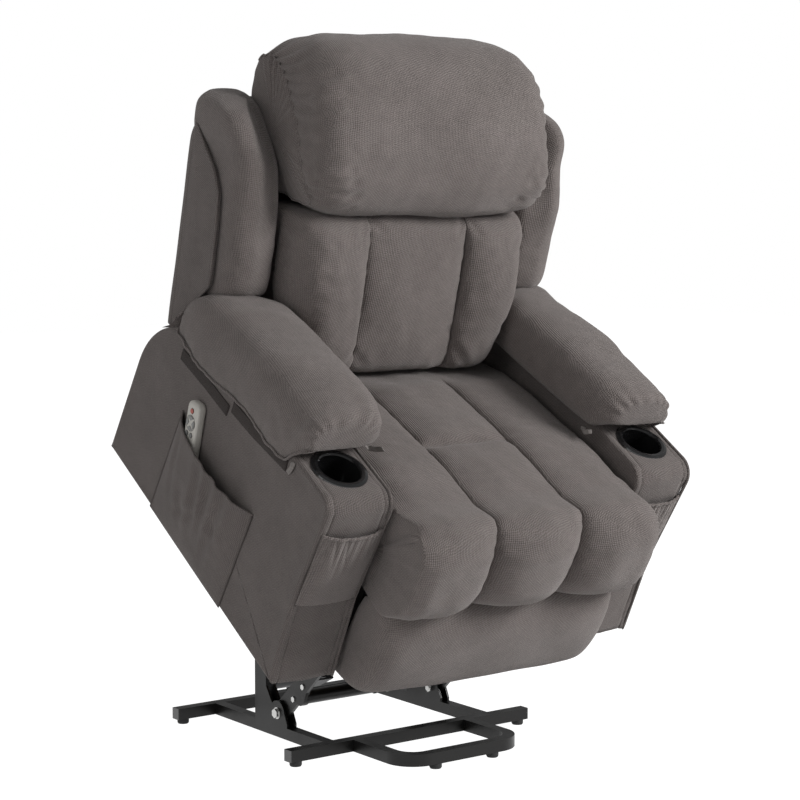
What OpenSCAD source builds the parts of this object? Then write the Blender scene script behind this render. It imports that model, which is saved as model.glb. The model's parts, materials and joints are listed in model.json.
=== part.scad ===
// Lift recliner armchair: a steel floor frame, a four-bar lift linkage, a chassis
// with an upholstered seat, arms and leg rest, and a reclining back.
// The rest pose is the fully raised one. Millimetres, +Z up, -Y is the front.
// Cushions, arms and back are drawn in the seat frame, where the chair is lowered
// and level; raised() carries them to the rest pose.

/* [Floor frame] */
// Length of the front and rear cross tubes
base_w = 630; // [560:5:680]
// Outer faces of the two side rails, measured across
rail_spread = 440; // [400:5:460]
// Side of the square floor tubes
tube = 25; // [20:1:30]
// Wall of all steel tubes
tube_wall = 2; // [1.5:0.5:3]
// Front face of the front cross tube
base_front = -260; // [-280:5:-250]
// Rear face of the rear cross tube
base_rear = 217; // [210:5:240]
// Height of the rubber feet
foot_h = 11; // [8:1:16]
// Diameter of the rubber feet
foot_d = 26; // [20:1:30]
// Outer width of the front stabiliser loop
loop_w = 320; // [260:10:360]
// How far the loop reaches in front of the front cross tube
loop_reach = 185; // [140:5:220]
// Outer corner radius of the loop
loop_r = 65; // [45:5:80]

/* [Lift linkage] */
// Lift arm pivot on the floor bracket, depth
lift_pivot_y = -61; // [-70:1:-55]
// Lift arm pivot on the floor bracket, height
lift_pivot_z = 63; // [60:1:70]
// Guide link pivot on the post, depth
guide_pivot_y = 5; // [0:1:10]
// Guide link pivot on the post, height
guide_pivot_z = 190; // [180:1:200]
// Height of the lift arm pin on the lowered chassis
arm_pin_z = 100; // [90:1:110]
// Height of the guide link pin on the lowered chassis
guide_pin_z = 190; // [180:1:200]
// Forward tilt of the raised chair, in degrees
lift_tilt = 33; // [30:0.5:34]
// Rise of the chassis datum when raised
lift_rise = 434.9; // [425:1:445]
// Forward shift of the chassis datum when lowered
lower_shift = 100; // [90:1:110]
// Thickness of the lift arms and guide links
link_t = 8; // [5:1:10]
// Width of the lift arms
arm_bar_w = 44; // [38:1:50]
// Width of the guide links
guide_bar_w = 36; // [30:1:44]
// Diameter of the pivot bolts
bolt_d = 12; // [10:1:14]
// Radial running clearance of every pivot bolt
bolt_fit = 0.05; // [0.03:0.01:0.08]
// Diameter of the torsion tube between the lift arms
torsion_d = 30; // [24:1:34]
// Stroke end of the lift motor: lever height above the lift pivot
lever_h = 120; // [110:1:130]

/* [Chassis and seat] */
// Clear width between the two arms
seat_gap = 630; // [600:5:660]
// Underside of the chassis tubes above the floor, lowered
chassis_z = 232; // [228:1:240]
// Top of the seat deck, lowered
deck_z = 343; // [335:1:350]
// Thickness of the seat deck
deck_t = 18; // [12:1:22]
// Thickness of the upholstered boards
board_t = 20; // [15:1:24]
// Height of the seat seams above the floor at the front
seat_seam_z = 436; // [428:1:446]
// Height of the seat seams where the seat meets the back
seat_rear_z = 400; // [392:1:408]
// Crown of the padded channels above their seams
seat_puff = 24; // [10:1:30]
// Distance of the seat and leg rest seams from the middle
seat_seam_x = 110; // [90:5:130]
// Clearance of a cushion from what it rests on
pad_gap = 0.4; // [0.3:0.1:1]

/* [Leg rest] */
// Leg rest hinge, depth
leg_hinge_y = -482; // [-490:1:-475]
// Leg rest hinge, height
leg_hinge_z = 385; // [380:1:392]
// Radius of the seat nose round the leg rest hinge, at its seams
nose_r = 68; // [60:1:74]
// Bottom edge of the leg rest panel
panel_bottom = 35; // [30:1:50]
// Top edge of the leg rest panel, behind the channelled pad
panel_top = 255; // [245:1:265]
// Depth of the panel's bulge in front of its back
panel_depth = 123; // [100:1:130]

/* [Arms] */
// Width of one arm
arm_w = 150; // [130:5:170]
// Underside of the arms and seat box above the floor, lowered
skirt_z = 46; // [42:1:60]
// Top of the arm at the cup holder
arm_top_z = 476; // [465:1:490]
// Front bottom corner of the arm
arm_front = -459; // [-465:1:-450]
// Rear face of the arm
arm_rear = 292; // [285:1:300]
// Radius of the rear top corner of the arm
arm_rear_r = 165; // [150:5:170]
// Height of the arm pad above the arm
pad_h = 118; // [90:1:130]
// Overhang of the arm pad past the inner and outer faces of the arm
pad_over = 18; // [12:1:22]
// Cup holder, distance of its axis from the middle of the chair
cup_x = 390; // [380:1:400]
// Cup holder, depth of its axis
cup_y = -335; // [-340:1:-325]
// Inner diameter of the cup well
cup_d = 84; // [76:1:92]
// Depth of the cup well
cup_depth = 70; // [50:1:90]
// Outer diameter of the cup holder's rim
cup_rim_d = 116; // [108:1:122]

/* [Back] */
// Back hinge, depth
back_hinge_y = 230; // [225:1:235]
// Back hinge, height
back_hinge_z = 330; // [325:1:335]
// Lean of the upright back, in degrees
back_lean = 18.5; // [15:0.5:22]
// Overall width of the back shell
shell_w = 810; // [780:5:830]
// Height of the shell's shoulders above the hinge
shoulder_h = 540; // [500:5:560]
// Height of the tall middle of the back above the hinge
crown_h = 690; // [650:5:710]
// Distance of the back seams from the middle
back_seam_x = 127; // [100:1:140]
// Thickness of the back at its seams, in front of the hinge
back_depth = 219; // [200:1:230]
// Width of the head pillow
pillow_w = 624; // [580:4:660]
// Height of the head pillow
pillow_h = 372; // [330:4:390]
// Thickness of the head pillow
pillow_t = 200; // [160:4:220]

/* [Pockets and handset] */
// Height of the side pocket's top edge, lowered
pocket_top = 288; // [270:2:300]
// How far the side pocket stands off the arm
pocket_bulge = 33; // [30:1:40]
// Thickness of the pocket cloth
cloth_t = 3; // [2:0.5:4]
// Length of the handset
handset_l = 165; // [150:1:180]
// Width of the handset
handset_w = 44; // [40:1:48]
// Thickness of the handset
handset_t = 21; // [18:1:22]
// How far the handset's buttons stand proud
key_proud = 1.6; // [1.2:0.1:2.4]

/* [Hidden] */
$fn = 48;

// The chair stands on the origin, which is the middle of its raised footprint.
origin_y = 237.5;
base_top = foot_h + tube;
rail_out = rail_spread / 2;
rail_in = rail_out - tube;
plate_t = 5;
side_gap = 1.5;

// Pivots are [depth, height] pairs.
lift_pivot = [lift_pivot_y, lift_pivot_z];
guide_pivot = [guide_pivot_y, guide_pivot_z];
leg_hinge = [leg_hinge_y, leg_hinge_z];
back_hinge = [back_hinge_y, back_hinge_z];

function turned(p, a) = [p.x * cos(a) - p.y * sin(a), p.x * sin(a) + p.y * cos(a)];
function raised_at(p) = turned(p, lift_tilt) + [0, lift_rise];
function heading(v) = atan2(v.y, v.x);
function arc(c, r, a0, a1, n) = [for (i = [0:n]) c + r * [cos(a0 + (a1 - a0) * i / n), sin(a0 + (a1 - a0) * i / n)]];

// A link from a floor pivot keeps its length from raised to lowered only if its
// chassis pin lies on one line. pin_on() gives the pin on it at a chosen height.
function pin_on(pivot, z) =
  let (up = [0, lift_rise] - pivot, down = [-lower_shift, 0] - pivot,
       v = turned(up, -lift_tilt) - down, k = (down * down - up * up) / 2)
  [(k - v.y * z) / v.x, z];
arm_pin = pin_on(lift_pivot, arm_pin_z);
guide_pin = pin_on(guide_pivot, guide_pin_z);
arm_up = raised_at(arm_pin) - lift_pivot;
guide_up = raised_at(guide_pin) - guide_pivot;

// Layers of the lift linkage, as distances from the middle of the chair.
arm_x0 = rail_in + plate_t + side_gap + 2;
bracket_x1 = arm_x0 - side_gap;
bracket_x0 = bracket_x1 - 6;
guide_x1 = rail_in - 0.6;
guide_x0 = guide_x1 - link_t;
torsion_at = lift_pivot + [-74, 46];
flange_r = torsion_d / 2 + 2.5;
lever_pin = lift_pivot + [0, lever_h];
motor_pin = [base_rear - tube - 12, 62];
rod_aim = heading(lever_pin - motor_pin);
rod_len = norm(lever_pin - motor_pin);

// Seat, arms and back
seat_half = seat_gap / 2 - 21;
arm_in = seat_gap / 2;
arm_out = arm_in + arm_w;
rail_x0 = arm_in - tube;
side_front = -400;
side_rear = 275;
cross_front = side_front;
leg_bar_r = 11;
front_rail_y = leg_hinge_y + 20;
front_rail_top = deck_z + 29;
recline_anchor = [-330, 185];
lever_tip = [-20, -140];
recline_pin = back_hinge + lever_tip;
recline_x = 90;
// Both linear motors: rod, its bore, the eyes at both ends and the ears that hold them
rod_r = 10;
rod_bore = rod_r + 0.1;
pin_r = 5;
eye_w = 22;
ear_gap = 24;
ear_t = 6;
pocket_front_y = arm_front + 26;

module at_base() { translate([0, origin_y, 0]) children(); }
module raised() { translate([0, origin_y, lift_rise]) rotate([lift_tilt, 0, 0]) children(); }
module back_frame() { raised() translate([0, back_hinge.x, back_hinge.y]) rotate([-back_lean, 0, 0]) children(); }
module side(s) { if (s < 0) mirror([1, 0, 0]) children(); else children(); }
module both() { children(); mirror([1, 0, 0]) children(); }

// A flat plate drawn in depth and height, t thick, from x0 outward.
module plate(x0, t) { translate([x0, 0, 0]) rotate([90, 0, 90]) linear_extrude(t) children(); }
// A round bar along X
module bar(p, r, x0, x1) { translate([x0, p.x, p.y]) rotate([0, 90, 0]) cylinder(r = r, h = x1 - x0); }
module at(p) { translate([p.x, p.y]) children(); }
// A bar with round ends from a to b
module strap(a, b, w) {
  l = norm(b - a);
  at(a) rotate(heading(b - a)) translate([0, -w / 2]) square([l, w]);
  at(a) circle(d = w);
  at(b) circle(d = w);
}
// The same bar with each end as a row of short flats, for plates that meet at odd angles
module link_bar(a, b, w) {
  h = heading(b - a);
  polygon(concat(arc(a, w / 2, h + 90, h + 270, 12), arc(b, w / 2, h - 90, h + 90, 12)));
}
// Rectangular tube along X, Y or Z, open at both ends, from its low corner
module tube_x(l, w, h) { difference() { cube([l, w, h]); translate([-1, tube_wall, tube_wall]) cube([l + 2, w - 2 * tube_wall, h - 2 * tube_wall]); } }
module tube_y(l, w, h) { difference() { cube([w, l, h]); translate([tube_wall, -1, tube_wall]) cube([w - 2 * tube_wall, l + 2, h - 2 * tube_wall]); } }

// Skin over equal rings of points that run anticlockwise seen from the last ring.
module loft(rings) {
  n = len(rings[0]);
  m = len(rings);
  polyhedron(
    points = [for (r = rings) each r],
    faces = concat(
      [[for (i = [0:n - 1]) i]],
      [for (k = [0:m - 2], i = [0:n - 1])
        let (a = k * n + i, b = k * n + (i + 1) % n, c = b + n) [a, c, b]],
      [for (k = [0:m - 2], i = [0:n - 1])
        let (a = k * n + i, c = (k + 1) * n + (i + 1) % n, d = a + n) [a, d, c]],
      [[for (i = [n - 1:-1:0]) (m - 1) * n + i]]),
    convexity = 8);
}

// Stations across a channelled cushion: dense beside its seams at +-s and its edges at +-w
function channel_u(x, s, w) = abs(x) < s ? x / s : (abs(x) - (s + w) / 2) / ((w - s) / 2);
function crowned(x, s, w) = pow(max(0, 1 - pow(abs(channel_u(x, s, w)), 2.4)), 0.55);
function stations(s, w, k = 3) = concat(
  [for (i = [0:2 * k]) -(w + s) / 2 - (w - s) / 2 * sin(90 - 90 * i / k)],
  [for (i = [1:2 * k]) -s * sin(90 - 90 * i / k)],
  [for (i = [1:2 * k]) (w + s) / 2 - (w - s) / 2 * sin(90 - 90 * i / k)]);

// ---------------------------------------------------------------- floor frame

module cross_tube(y) { translate([-base_w / 2, y, foot_h]) tube_x(base_w, tube, tube); }
module front_cross_tube() { color("#1d1b1a") at_base() cross_tube(base_front); }
module rear_cross_tube() { color("#1d1b1a") at_base() cross_tube(base_rear - tube); }

module side_rails() {
  color("#1d1b1a") at_base() both()
    translate([rail_in, base_front + tube, foot_h])
      tube_y(base_rear - base_front - 2 * tube, tube, tube);
}

// Loop outline: straight legs, round front corners
module loop_outline(w, r, back) {
  front = base_front - loop_reach + (loop_w - w) / 2;
  translate([-w / 2, front + r]) square([w, back - front - r]);
  translate([-w / 2 + r, front]) square([w - 2 * r, r + 1]);
  for (i = [-1, 1]) translate([i * (w / 2 - r), front + r]) circle(r);
}
module loop_ring(inset, h, back) {
  linear_extrude(h) difference() {
    loop_outline(loop_w - 2 * inset, loop_r - inset, back);
    loop_outline(loop_w - 2 * tube + 2 * inset, loop_r - tube + inset, back + 1);
  }
}
module front_loop() {
  color("#1d1b1a") at_base() translate([0, 0, foot_h]) difference() {
    loop_ring(0, tube, base_front);
    translate([0, 0, tube_wall]) loop_ring(tube_wall, tube - 2 * tube_wall, base_front + 1);
  }
}

// Post and clevis plates on one side rail: the lift arm swings between the two
// plates, the guide link on the inner face of the post.
post_w = 44;
post_y = guide_pivot_y - post_w / 2;
post_top = guide_pivot_z + 20;
module clevis_outline() {
  foot = foot_h + 6;
  translate([lift_pivot_y - 38, foot]) square([post_y - lift_pivot_y + 38, base_top - foot + 8]);
  at(lift_pivot) circle(r = 27);
  translate([lift_pivot_y - 27, foot]) square([54, lift_pivot_z - foot]);
  polygon([[lift_pivot_y - 38, base_top + 8], [lift_pivot_y - 26, lift_pivot_z + 6],
    [lift_pivot_y + 20, lift_pivot_z + 18], [post_y, lift_pivot_z + 52], [post_y, base_top]]);
}
module pivot_bracket(s) {
  color("#1d1b1a") at_base() side(s) difference() {
    union() {
      difference() {
        translate([rail_in, post_y, base_top]) cube([tube, post_w, post_top - base_top]);
        translate([rail_in + tube_wall, post_y + tube_wall, base_top - 1])
          cube([tube - 2 * tube_wall, post_w - 2 * tube_wall, post_top - base_top - tube_wall + 1]);
      }
      difference() {
        plate(rail_out - plate_t, plate_t) clevis_outline();
        translate([rail_in - 1, base_front, foot_h - 1]) cube([tube + 2, base_rear - base_front, tube + 1]);
      }
      difference() {
        plate(rail_in, plate_t) clevis_outline();
        translate([rail_in - 1, base_front, foot_h - 1]) cube([tube + 2, base_rear - base_front, tube + 1]);
      }
    }
    bar(lift_pivot, bolt_d / 2 + bolt_fit, rail_in - 1, rail_out + 1);
    bar(guide_pivot, bolt_d / 2 + bolt_fit, rail_in - 1, rail_out + 1);
  }
}

module base_feet() {
  spots = concat(
    [for (i = [-1, 1], y = [base_front + tube / 2, base_rear - tube / 2]) [i * (base_w / 2 - 18), y]],
    [for (i = [-1, 1]) [i * 75, base_front - loop_reach + tube / 2]]);
  color("#151515") at_base() for (p = spots) translate([p.x, p.y, 0]) {
    cylinder(d1 = foot_d - 3, d2 = foot_d, h = 3);
    translate([0, 0, 3]) cylinder(d = foot_d, h = foot_h - 3);
  }
}

module tube_end_caps() {
  plug = tube - 2 * tube_wall - 0.2;
  color("#151515") at_base() both() for (y = [base_front, base_rear - tube])
    translate([base_w / 2, y, foot_h]) {
      cube([2, tube, tube]);
      translate([-10, (tube - plug) / 2, (tube - plug) / 2]) cube([11, plug, plug]);
    }
}

// Two ears welded to the rear cross tube carry the lift motor's tail pin.
module motor_anchor() {
  color("#1d1b1a") at_base() {
    difference() {
      both() plate(ear_gap / 2, ear_t) {
        at(motor_pin) circle(r = 14);
        polygon([[base_rear - tube, foot_h + 4], [base_rear - tube, base_top + 34],
          motor_pin + [2, 14], motor_pin + [-10, -10]]);
        translate([base_rear - tube, base_top]) square([16, 20]);
      }
      bar(motor_pin, pin_r + bolt_fit, -30, 30);
      translate([-40, base_rear - tube, foot_h]) cube([80, tube, tube]);
    }
  }
}

// One bolt: head outside, shank inward, nut inside. x is the outer face that the head seats on.
module pivot_bolt(p, x, grip, d = bolt_d) {
  bar(p, d / 2, x - grip - 9, x + 1);
  translate([x, p.x, p.y]) rotate([0, 90, 0]) cylinder(d = d * 2.1, h = 1.6);
  translate([x + 1.6, p.x, p.y]) rotate([0, 90, 0]) cylinder(d = d * 1.75, h = 6, $fn = 6);
  translate([x - grip - 7, p.x, p.y]) rotate([0, 90, 0]) cylinder(d = d * 1.75, h = 7, $fn = 6);
}
// Headed pin through the ears and the eye of a linear motor
module cross_pin(p, x) {
  end = ear_gap / 2 + ear_t;
  bar(p, pin_r, x - end - 4, x + end + 4);
  for (i = [x - end - 4, x + end]) bar(p, pin_r + 3, i, i + 4);
}
module base_pivot_bolts() {
  color("#b9b9b6") at_base() {
    both() pivot_bolt(lift_pivot, rail_out, tube);
    both() pivot_bolt(guide_pivot, rail_out, rail_out - guide_x0);
    cross_pin(motor_pin, 0);
  }
}

// ---------------------------------------------------------------- lift linkage

clamp_bolts = [[-13, 25.6], [23, -7.6]];
module lift_arm(s) {
  top = lift_pivot + arm_up;
  color("#1d1b1a") at_base() side(s) difference() {
    plate(arm_x0, link_t) {
      link_bar(lift_pivot, top, arm_bar_w);
      link_bar(torsion_at, lift_pivot + arm_up * 0.3, 2 * flange_r);
    }
    bar(lift_pivot, bolt_d / 2 + bolt_fit, 100, 300);
    bar(top, bolt_d / 2 + bolt_fit, 100, 300);
    for (d = clamp_bolts) bar(torsion_at + d, 4.1, 100, 300);
  }
}

// Cross tube that ties the two lift arms, with its end flanges and the motor lever
module torsion_tube() {
  color("#1d1b1a") at_base() {
    difference() {
      union() {
        bar(torsion_at, torsion_d / 2, -arm_x0, arm_x0);
        both() plate(arm_x0 - 6, 6) {
          for (d = clamp_bolts) link_bar(torsion_at, torsion_at + d, 22);
          link_bar(torsion_at, torsion_at + (clamp_bolts[0] + clamp_bolts[1]) / 4, 2 * flange_r);
        }
        both() plate(ear_gap / 2, ear_t) link_bar(torsion_at, lever_pin, 2 * flange_r);
      }
      bar(torsion_at, torsion_d / 2 - tube_wall, -arm_x0 - 1, arm_x0 + 1);
      both() for (d = clamp_bolts) bar(torsion_at + d, 4.1, 100, 300);
      bar(lever_pin, pin_r + bolt_fit, -30, 30);
    }
    both() bar(lever_pin, pin_r + 3, ear_gap / 2 + ear_t, ear_gap / 2 + ear_t + 5);
  }
}
// Bolts that clamp the torsion tube's flanges to the lift arms
module arm_bolts() {
  color("#b9b9b6") at_base() both() for (d = clamp_bolts) {
    p = torsion_at + d;
    bar(p, 4, arm_x0 - 14, arm_x0 + link_t + 1);
    translate([arm_x0 + link_t, p.x, p.y]) rotate([0, 90, 0]) cylinder(d = 13, h = 2.6, $fn = 6);
    translate([arm_x0 - 13, p.x, p.y]) rotate([0, 90, 0]) cylinder(d = 13, h = 7, $fn = 6);
  }
}

module guide_link(s) {
  top = guide_pivot + guide_up;
  color("#1d1b1a") at_base() side(s) difference() {
    plate(guide_x0, link_t) strap(guide_pivot, top, guide_bar_w);
    bar(guide_pivot, bolt_d / 2 + bolt_fit, 100, 300);
    bar(top, bolt_d / 2 + bolt_fit, 100, 300);
  }
}

// Headed pins at the upper ends of the guide links. Each ends 0.3 mm short of the bracket.
module guide_bolts() {
  top = guide_pivot + guide_up;
  color("#b9b9b6") at_base() both() {
    bar(top, bolt_d / 2, guide_x0 - 1, bracket_x0 - 0.3);
    translate([guide_x0 - 7, top.x, top.y]) rotate([0, 90, 0]) cylinder(d = bolt_d * 1.75, h = 7, $fn = 6);
  }
}

// Local frame of a linear motor: +X runs from its tail pin to its rod end
module along(p, a, x = 0) { translate([x, p.x, p.y]) rotate([a, 0, 0]) rotate([0, 0, 90]) children(); }

module linear_motor(body_l, bore_r) {
  difference() {
    union() {
      rotate([90, 0, 0]) translate([0, 0, -eye_w / 2]) cylinder(r = 13, h = eye_w);
      translate([0, -eye_w / 2, -13]) cube([34, eye_w, 26]);
      translate([30, -30, -27]) cube([62, 60, 54]);
      translate([92, 0, 0]) rotate([0, 90, 0]) cylinder(r = 24, h = 12);
      translate([31, 0, 0]) rotate([0, 90, 0]) cylinder(r = 17, h = body_l - 31);
      translate([61, 30, 0]) rotate([-90, 0, 0]) cylinder(r = 24, h = 84);
      translate([61, 114, 0]) rotate([-90, 0, 0]) cylinder(r = 20, h = 5);
    }
    rotate([90, 0, 0]) translate([0, 0, -30]) cylinder(r = pin_r + bolt_fit, h = 60);
    translate([104, 0, 0]) rotate([0, 90, 0]) cylinder(r = bore_r, h = body_l);
  }
}
// Rod with its eye and cross pin at the local origin. The pin ends short of the ears.
module motor_rod(l, back) {
  translate([-l + back, 0, 0]) rotate([0, 90, 0]) cylinder(r = rod_r, h = l - back - 12);
  rotate([90, 0, 0]) translate([0, 0, -eye_w / 2]) cylinder(r = 14, h = eye_w);
  rotate([90, 0, 0]) translate([0, 0, -ear_gap / 2 + 0.3]) cylinder(r = pin_r, h = ear_gap - 0.6);
}
module lift_motor() {
  color("#2a2a2a") at_base() along(motor_pin, rod_aim) linear_motor(rod_len - 40, rod_bore);
}
module lift_rod() {
  color("#c4c4c2") at_base() along(lever_pin, rod_aim) motor_rod(rod_len, 115);
}

// ---------------------------------------------------------------- chassis

module chassis_sides() {
  x1 = arm_in;
  color("#1d1b1a") raised() both() {
    translate([rail_x0, side_front, chassis_z]) tube_y(side_rear - side_front, tube, tube);
    difference() {
      plate(x1 - 6, 6) {
        translate([back_hinge_y - 45, chassis_z + tube]) square([75, back_hinge_z - chassis_z - tube]);
        at(back_hinge) circle(r = 24);
      }
      bar(back_hinge, 8 + bolt_fit, 200, 400);
    }
  }
}

module chassis_front_tube() {
  color("#1d1b1a") raised() {
    translate([-rail_x0, side_front, chassis_z]) tube_x(2 * rail_x0, 40, tube);
    difference() {
      translate([recline_x, 0, 0]) both() plate(ear_gap / 2, ear_t) {
        at(recline_anchor) circle(r = 14);
        polygon([[side_front + 4, chassis_z], [side_front + 40, chassis_z], [side_front + 52, chassis_z + 16],
          recline_anchor + [14, 0], recline_anchor + [-13, -5]]);
      }
      translate([-rail_x0, side_front, chassis_z]) cube([2 * rail_x0, 40, tube]);
      bar(recline_anchor, pin_r + bolt_fit, 0, 200);
    }
  }
}

module chassis_rear_tube() {
  color("#1d1b1a") raised() translate([-rail_x0, side_rear - tube, chassis_z]) tube_x(2 * rail_x0, tube, tube);
}

// Plates that hang from the front tube and take the pins of the lift linkage
module lift_brackets() {
  color("#1d1b1a") raised() both() difference() {
    plate(bracket_x0, 6) polygon(concat(
      arc(arm_pin, 23, 180, 360, 14),
      [[guide_pin.x + 23, guide_pin.y], [side_front + 78, chassis_z], [side_front + 2, chassis_z],
        [guide_pin.x - 23, guide_pin.y]]));
    bar(arm_pin, bolt_d / 2 + bolt_fit, 100, 300);
    bar(guide_pin, bolt_d / 2 + bolt_fit, 100, 300);
  }
}

// Bolts at the lift brackets. The guide link's pin is the opened pivot, so here it is a
// stub with its nut: it ends inside the bracket and doesn't enter the link.
module chassis_bolts() {
  color("#b9b9b6") raised() {
    both() {
      x1 = arm_x0 + link_t;
      bar(arm_pin, bolt_d / 2, bracket_x0 - 8, x1 + 1);
      translate([x1 + 0.3, arm_pin.x, arm_pin.y]) rotate([0, 90, 0]) cylinder(d = 25, h = 7, $fn = 6);
      translate([bracket_x0 - 7, arm_pin.x, arm_pin.y]) rotate([0, 90, 0]) cylinder(d = 21, h = 7, $fn = 6);
      bar(guide_pin, bolt_d / 2, bracket_x0 + 0.5, bracket_x1 + 5);
      translate([bracket_x1, guide_pin.x, guide_pin.y]) rotate([0, 90, 0]) cylinder(d = 21, h = 7, $fn = 6);
    }
    both() {
      bar(back_hinge, 8, arm_in - 20, arm_in);
    }
    cross_pin(recline_anchor, recline_x);
  }
}

// ---------------------------------------------------------------- seat

module seat_front_rail() {
  color("#b08d5f") raised() {
    translate([-seat_half, front_rail_y, chassis_z + tube])
      cube([2 * seat_half, board_t, front_rail_top - chassis_z - tube]);
  }
}
// Hinge lugs on the front rail, each bored for the leg rest's cross bar
module leg_lugs() {
  color("#1d1b1a") raised() both() for (x = [70, seat_half - 26]) difference() {
    plate(x, plate_t) {
      at(leg_hinge) circle(r = 16);
      polygon([leg_hinge + [-6, 14.5], [front_rail_y, front_rail_top], [front_rail_y, 318], leg_hinge + [-11, -11]]);
    }
    bar(leg_hinge, leg_bar_r + bolt_fit, 0, 400);
  }
}
module seat_side_boards() {
  color("#b08d5f") raised() both()
    translate([seat_half - board_t, front_rail_y + board_t, chassis_z + tube])
      cube([board_t, 622, deck_z - deck_t - chassis_z - tube]);
}
module seat_deck() {
  color("#b08d5f") raised()
    translate([-seat_half, front_rail_y + board_t, deck_z - deck_t]) cube([2 * seat_half, 622, deck_t]);
}

function nose_at(x) = nose_r + seat_puff * crowned(x, seat_seam_x, seat_half);
// Height of the seat at depth y: from the rear seam height up to the front one
function seat_line(y) = seat_rear_z + (seat_seam_z - seat_rear_z) * min(1, max(0, (20 - y) / 340));
// The cross seam of the middle channel
function cross_seam(x, y) = abs(x) < seat_seam_x ? 1 - 0.85 * exp(-pow((y + 240) / 16, 2)) : 1;
function seat_ring(x) =
  let (puff = seat_puff * crowned(x, seat_seam_x, seat_half), r = nose_at(x),
       tops = [for (y = [-30, -100, -170, -215, -240, -265, -310, -370, -430]) y],
       drop = r - nose_r)
  concat(
    [[x, -438, deck_z + pad_gap], [x, 150, deck_z + pad_gap], [x, 150, deck_z + 12], [x, 20, seat_rear_z]],
    [for (y = tops) [x, y, seat_line(y) + puff * cross_seam(x, y) * min(1, (20 - y) / 50)]],
    [for (p = arc(leg_hinge, r, 100, 252, 11)) [x, p.x, p.y]],
    [[x, leg_hinge_y - 17, leg_hinge_z - r * 0.95 + 2], [x, leg_hinge_y - 17, leg_hinge_z + 17],
      [x, -438, leg_hinge_z + 17]]);
module seat_cushion() {
  color("#5a534e") raised() loft([for (x = stations(seat_seam_x, seat_half)) seat_ring(x)]);
}

// ---------------------------------------------------------------- arms

front_top = [pocket_front_y + 36, arm_top_z - 36];
rear_c = [arm_rear - arm_rear_r, 278];
// Top of the arm at depth y, with the slope that runs down to the rear corner
function arm_top(y) =
  let (y1 = rear_c.x, z1 = rear_c.y + arm_rear_r)
  y < -262 ? arm_top_z
  : y < y1 ? arm_top_z + (z1 - arm_top_z) * (y + 262) / (y1 + 262)
  : rear_c.y + sqrt(max(0, pow(arm_rear_r, 2) - pow(y - y1, 2)));
module arm_outline() {
  polygon(concat(
    [[arm_front, skirt_z], [arm_rear, skirt_z]],
    arc(rear_c, arm_rear_r, 0, 90, 14),
    [[-262, arm_top_z]],
    arc(front_top, 36, 90, 180, 6),
    [[pocket_front_y, 228]]));
}
module arm(s) {
  color("#4f4843") raised() side(s) difference() {
    plate(arm_in, arm_w) arm_outline();
    translate([cup_x, cup_y, arm_top_z - cup_depth - 6]) cylinder(d = cup_d + 7, h = cup_depth + 20);
  }
}

module cup_holder(s) {
  r = cup_d / 2;
  color("#101010") raised() side(s) translate([cup_x, cup_y, arm_top_z]) rotate_extrude($fn = 64)
    polygon([[0, -cup_depth - 3], [r + 1, -cup_depth - 3], [r + 3, -cup_depth], [r + 3, 0.2],
      [cup_rim_d / 2, 0.2], [cup_rim_d / 2 - 1, 3], [cup_rim_d / 2 - 7, 5.4], [r + 3, 4.6],
      [r, 1.5], [r, -cup_depth], [0, -cup_depth]]);
}

// Pillow on the rear of the arm: it lies on the arm, laps over its outer face and
// overhangs the seat.
// The front end stops at the back of the cup well, so that a cup goes straight in.
pad_y0 = cup_y + cup_d / 2 + 1.5;
pad_y1 = 206;
function pad_s(y) = (2 * y - pad_y0 - pad_y1) / (pad_y1 - pad_y0);
// The front end overhangs the cup holder's rim, so its underside lifts in front of pad_foot
pad_foot = cup_y + cup_rim_d / 2 + 4;
function pad_ring(y) =
  let (s = abs(pad_s(y)), full = pow(max(0, 1 - pow(s, 5)), 0.45),
       lift = max(0, pad_foot - y),
       t = arm_top(y) + pad_gap + 6 * pow(lift, 0.45) * min(1, lift / 8) + 1.5 * min(1, max(0, (y - 60) / 40))
         + (abs(y + 262) < 30 ? 0.35 : 0),
       x0 = arm_in - 8 - (pad_over + 26) * (0.4 + 0.6 * full) + 155 * pow(max(0, (y - 100) / 106), 1.4),
       x1 = arm_out + pad_gap, x2 = arm_out + 3 + pad_over * full,
       top = arm_top(y) + 24 + (pad_h - 14) * full + 46 * (1 - full) * min(1, lift / 40),
       drop = 2 + 46 * full * (1 - min(1, lift / 60)), rise = max(8, top - t - 10))
  concat(
    [[x1, y, t - drop], [x1, y, t], [x0 + 34, y, t], [x0, y, t + 10]],
    [for (i = [1:11]) let (a = 180 * i / 12, c = cos(a))
      [(x0 + x2) / 2 - (x2 - x0) / 2 * sign(c) * pow(abs(c), 0.75), y,
       t + 10 + (-drop + 4) * (1 - c) / 2 + rise * pow(sin(a), 0.62)]],
    [[x2, y, t - drop + 8], [x2 - 8, y, t - drop]]);
function reversed(v) = [for (i = [len(v) - 1:-1:0]) v[i]];
module arm_pad(s) {
  ys = [for (a = [-90:12:90]) (pad_y0 + pad_y1) / 2 + (pad_y1 - pad_y0) / 2 * sin(a)];
  color("#5a534e") raised() side(s) loft([for (y = ys) pad_ring(y)]);
}

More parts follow.
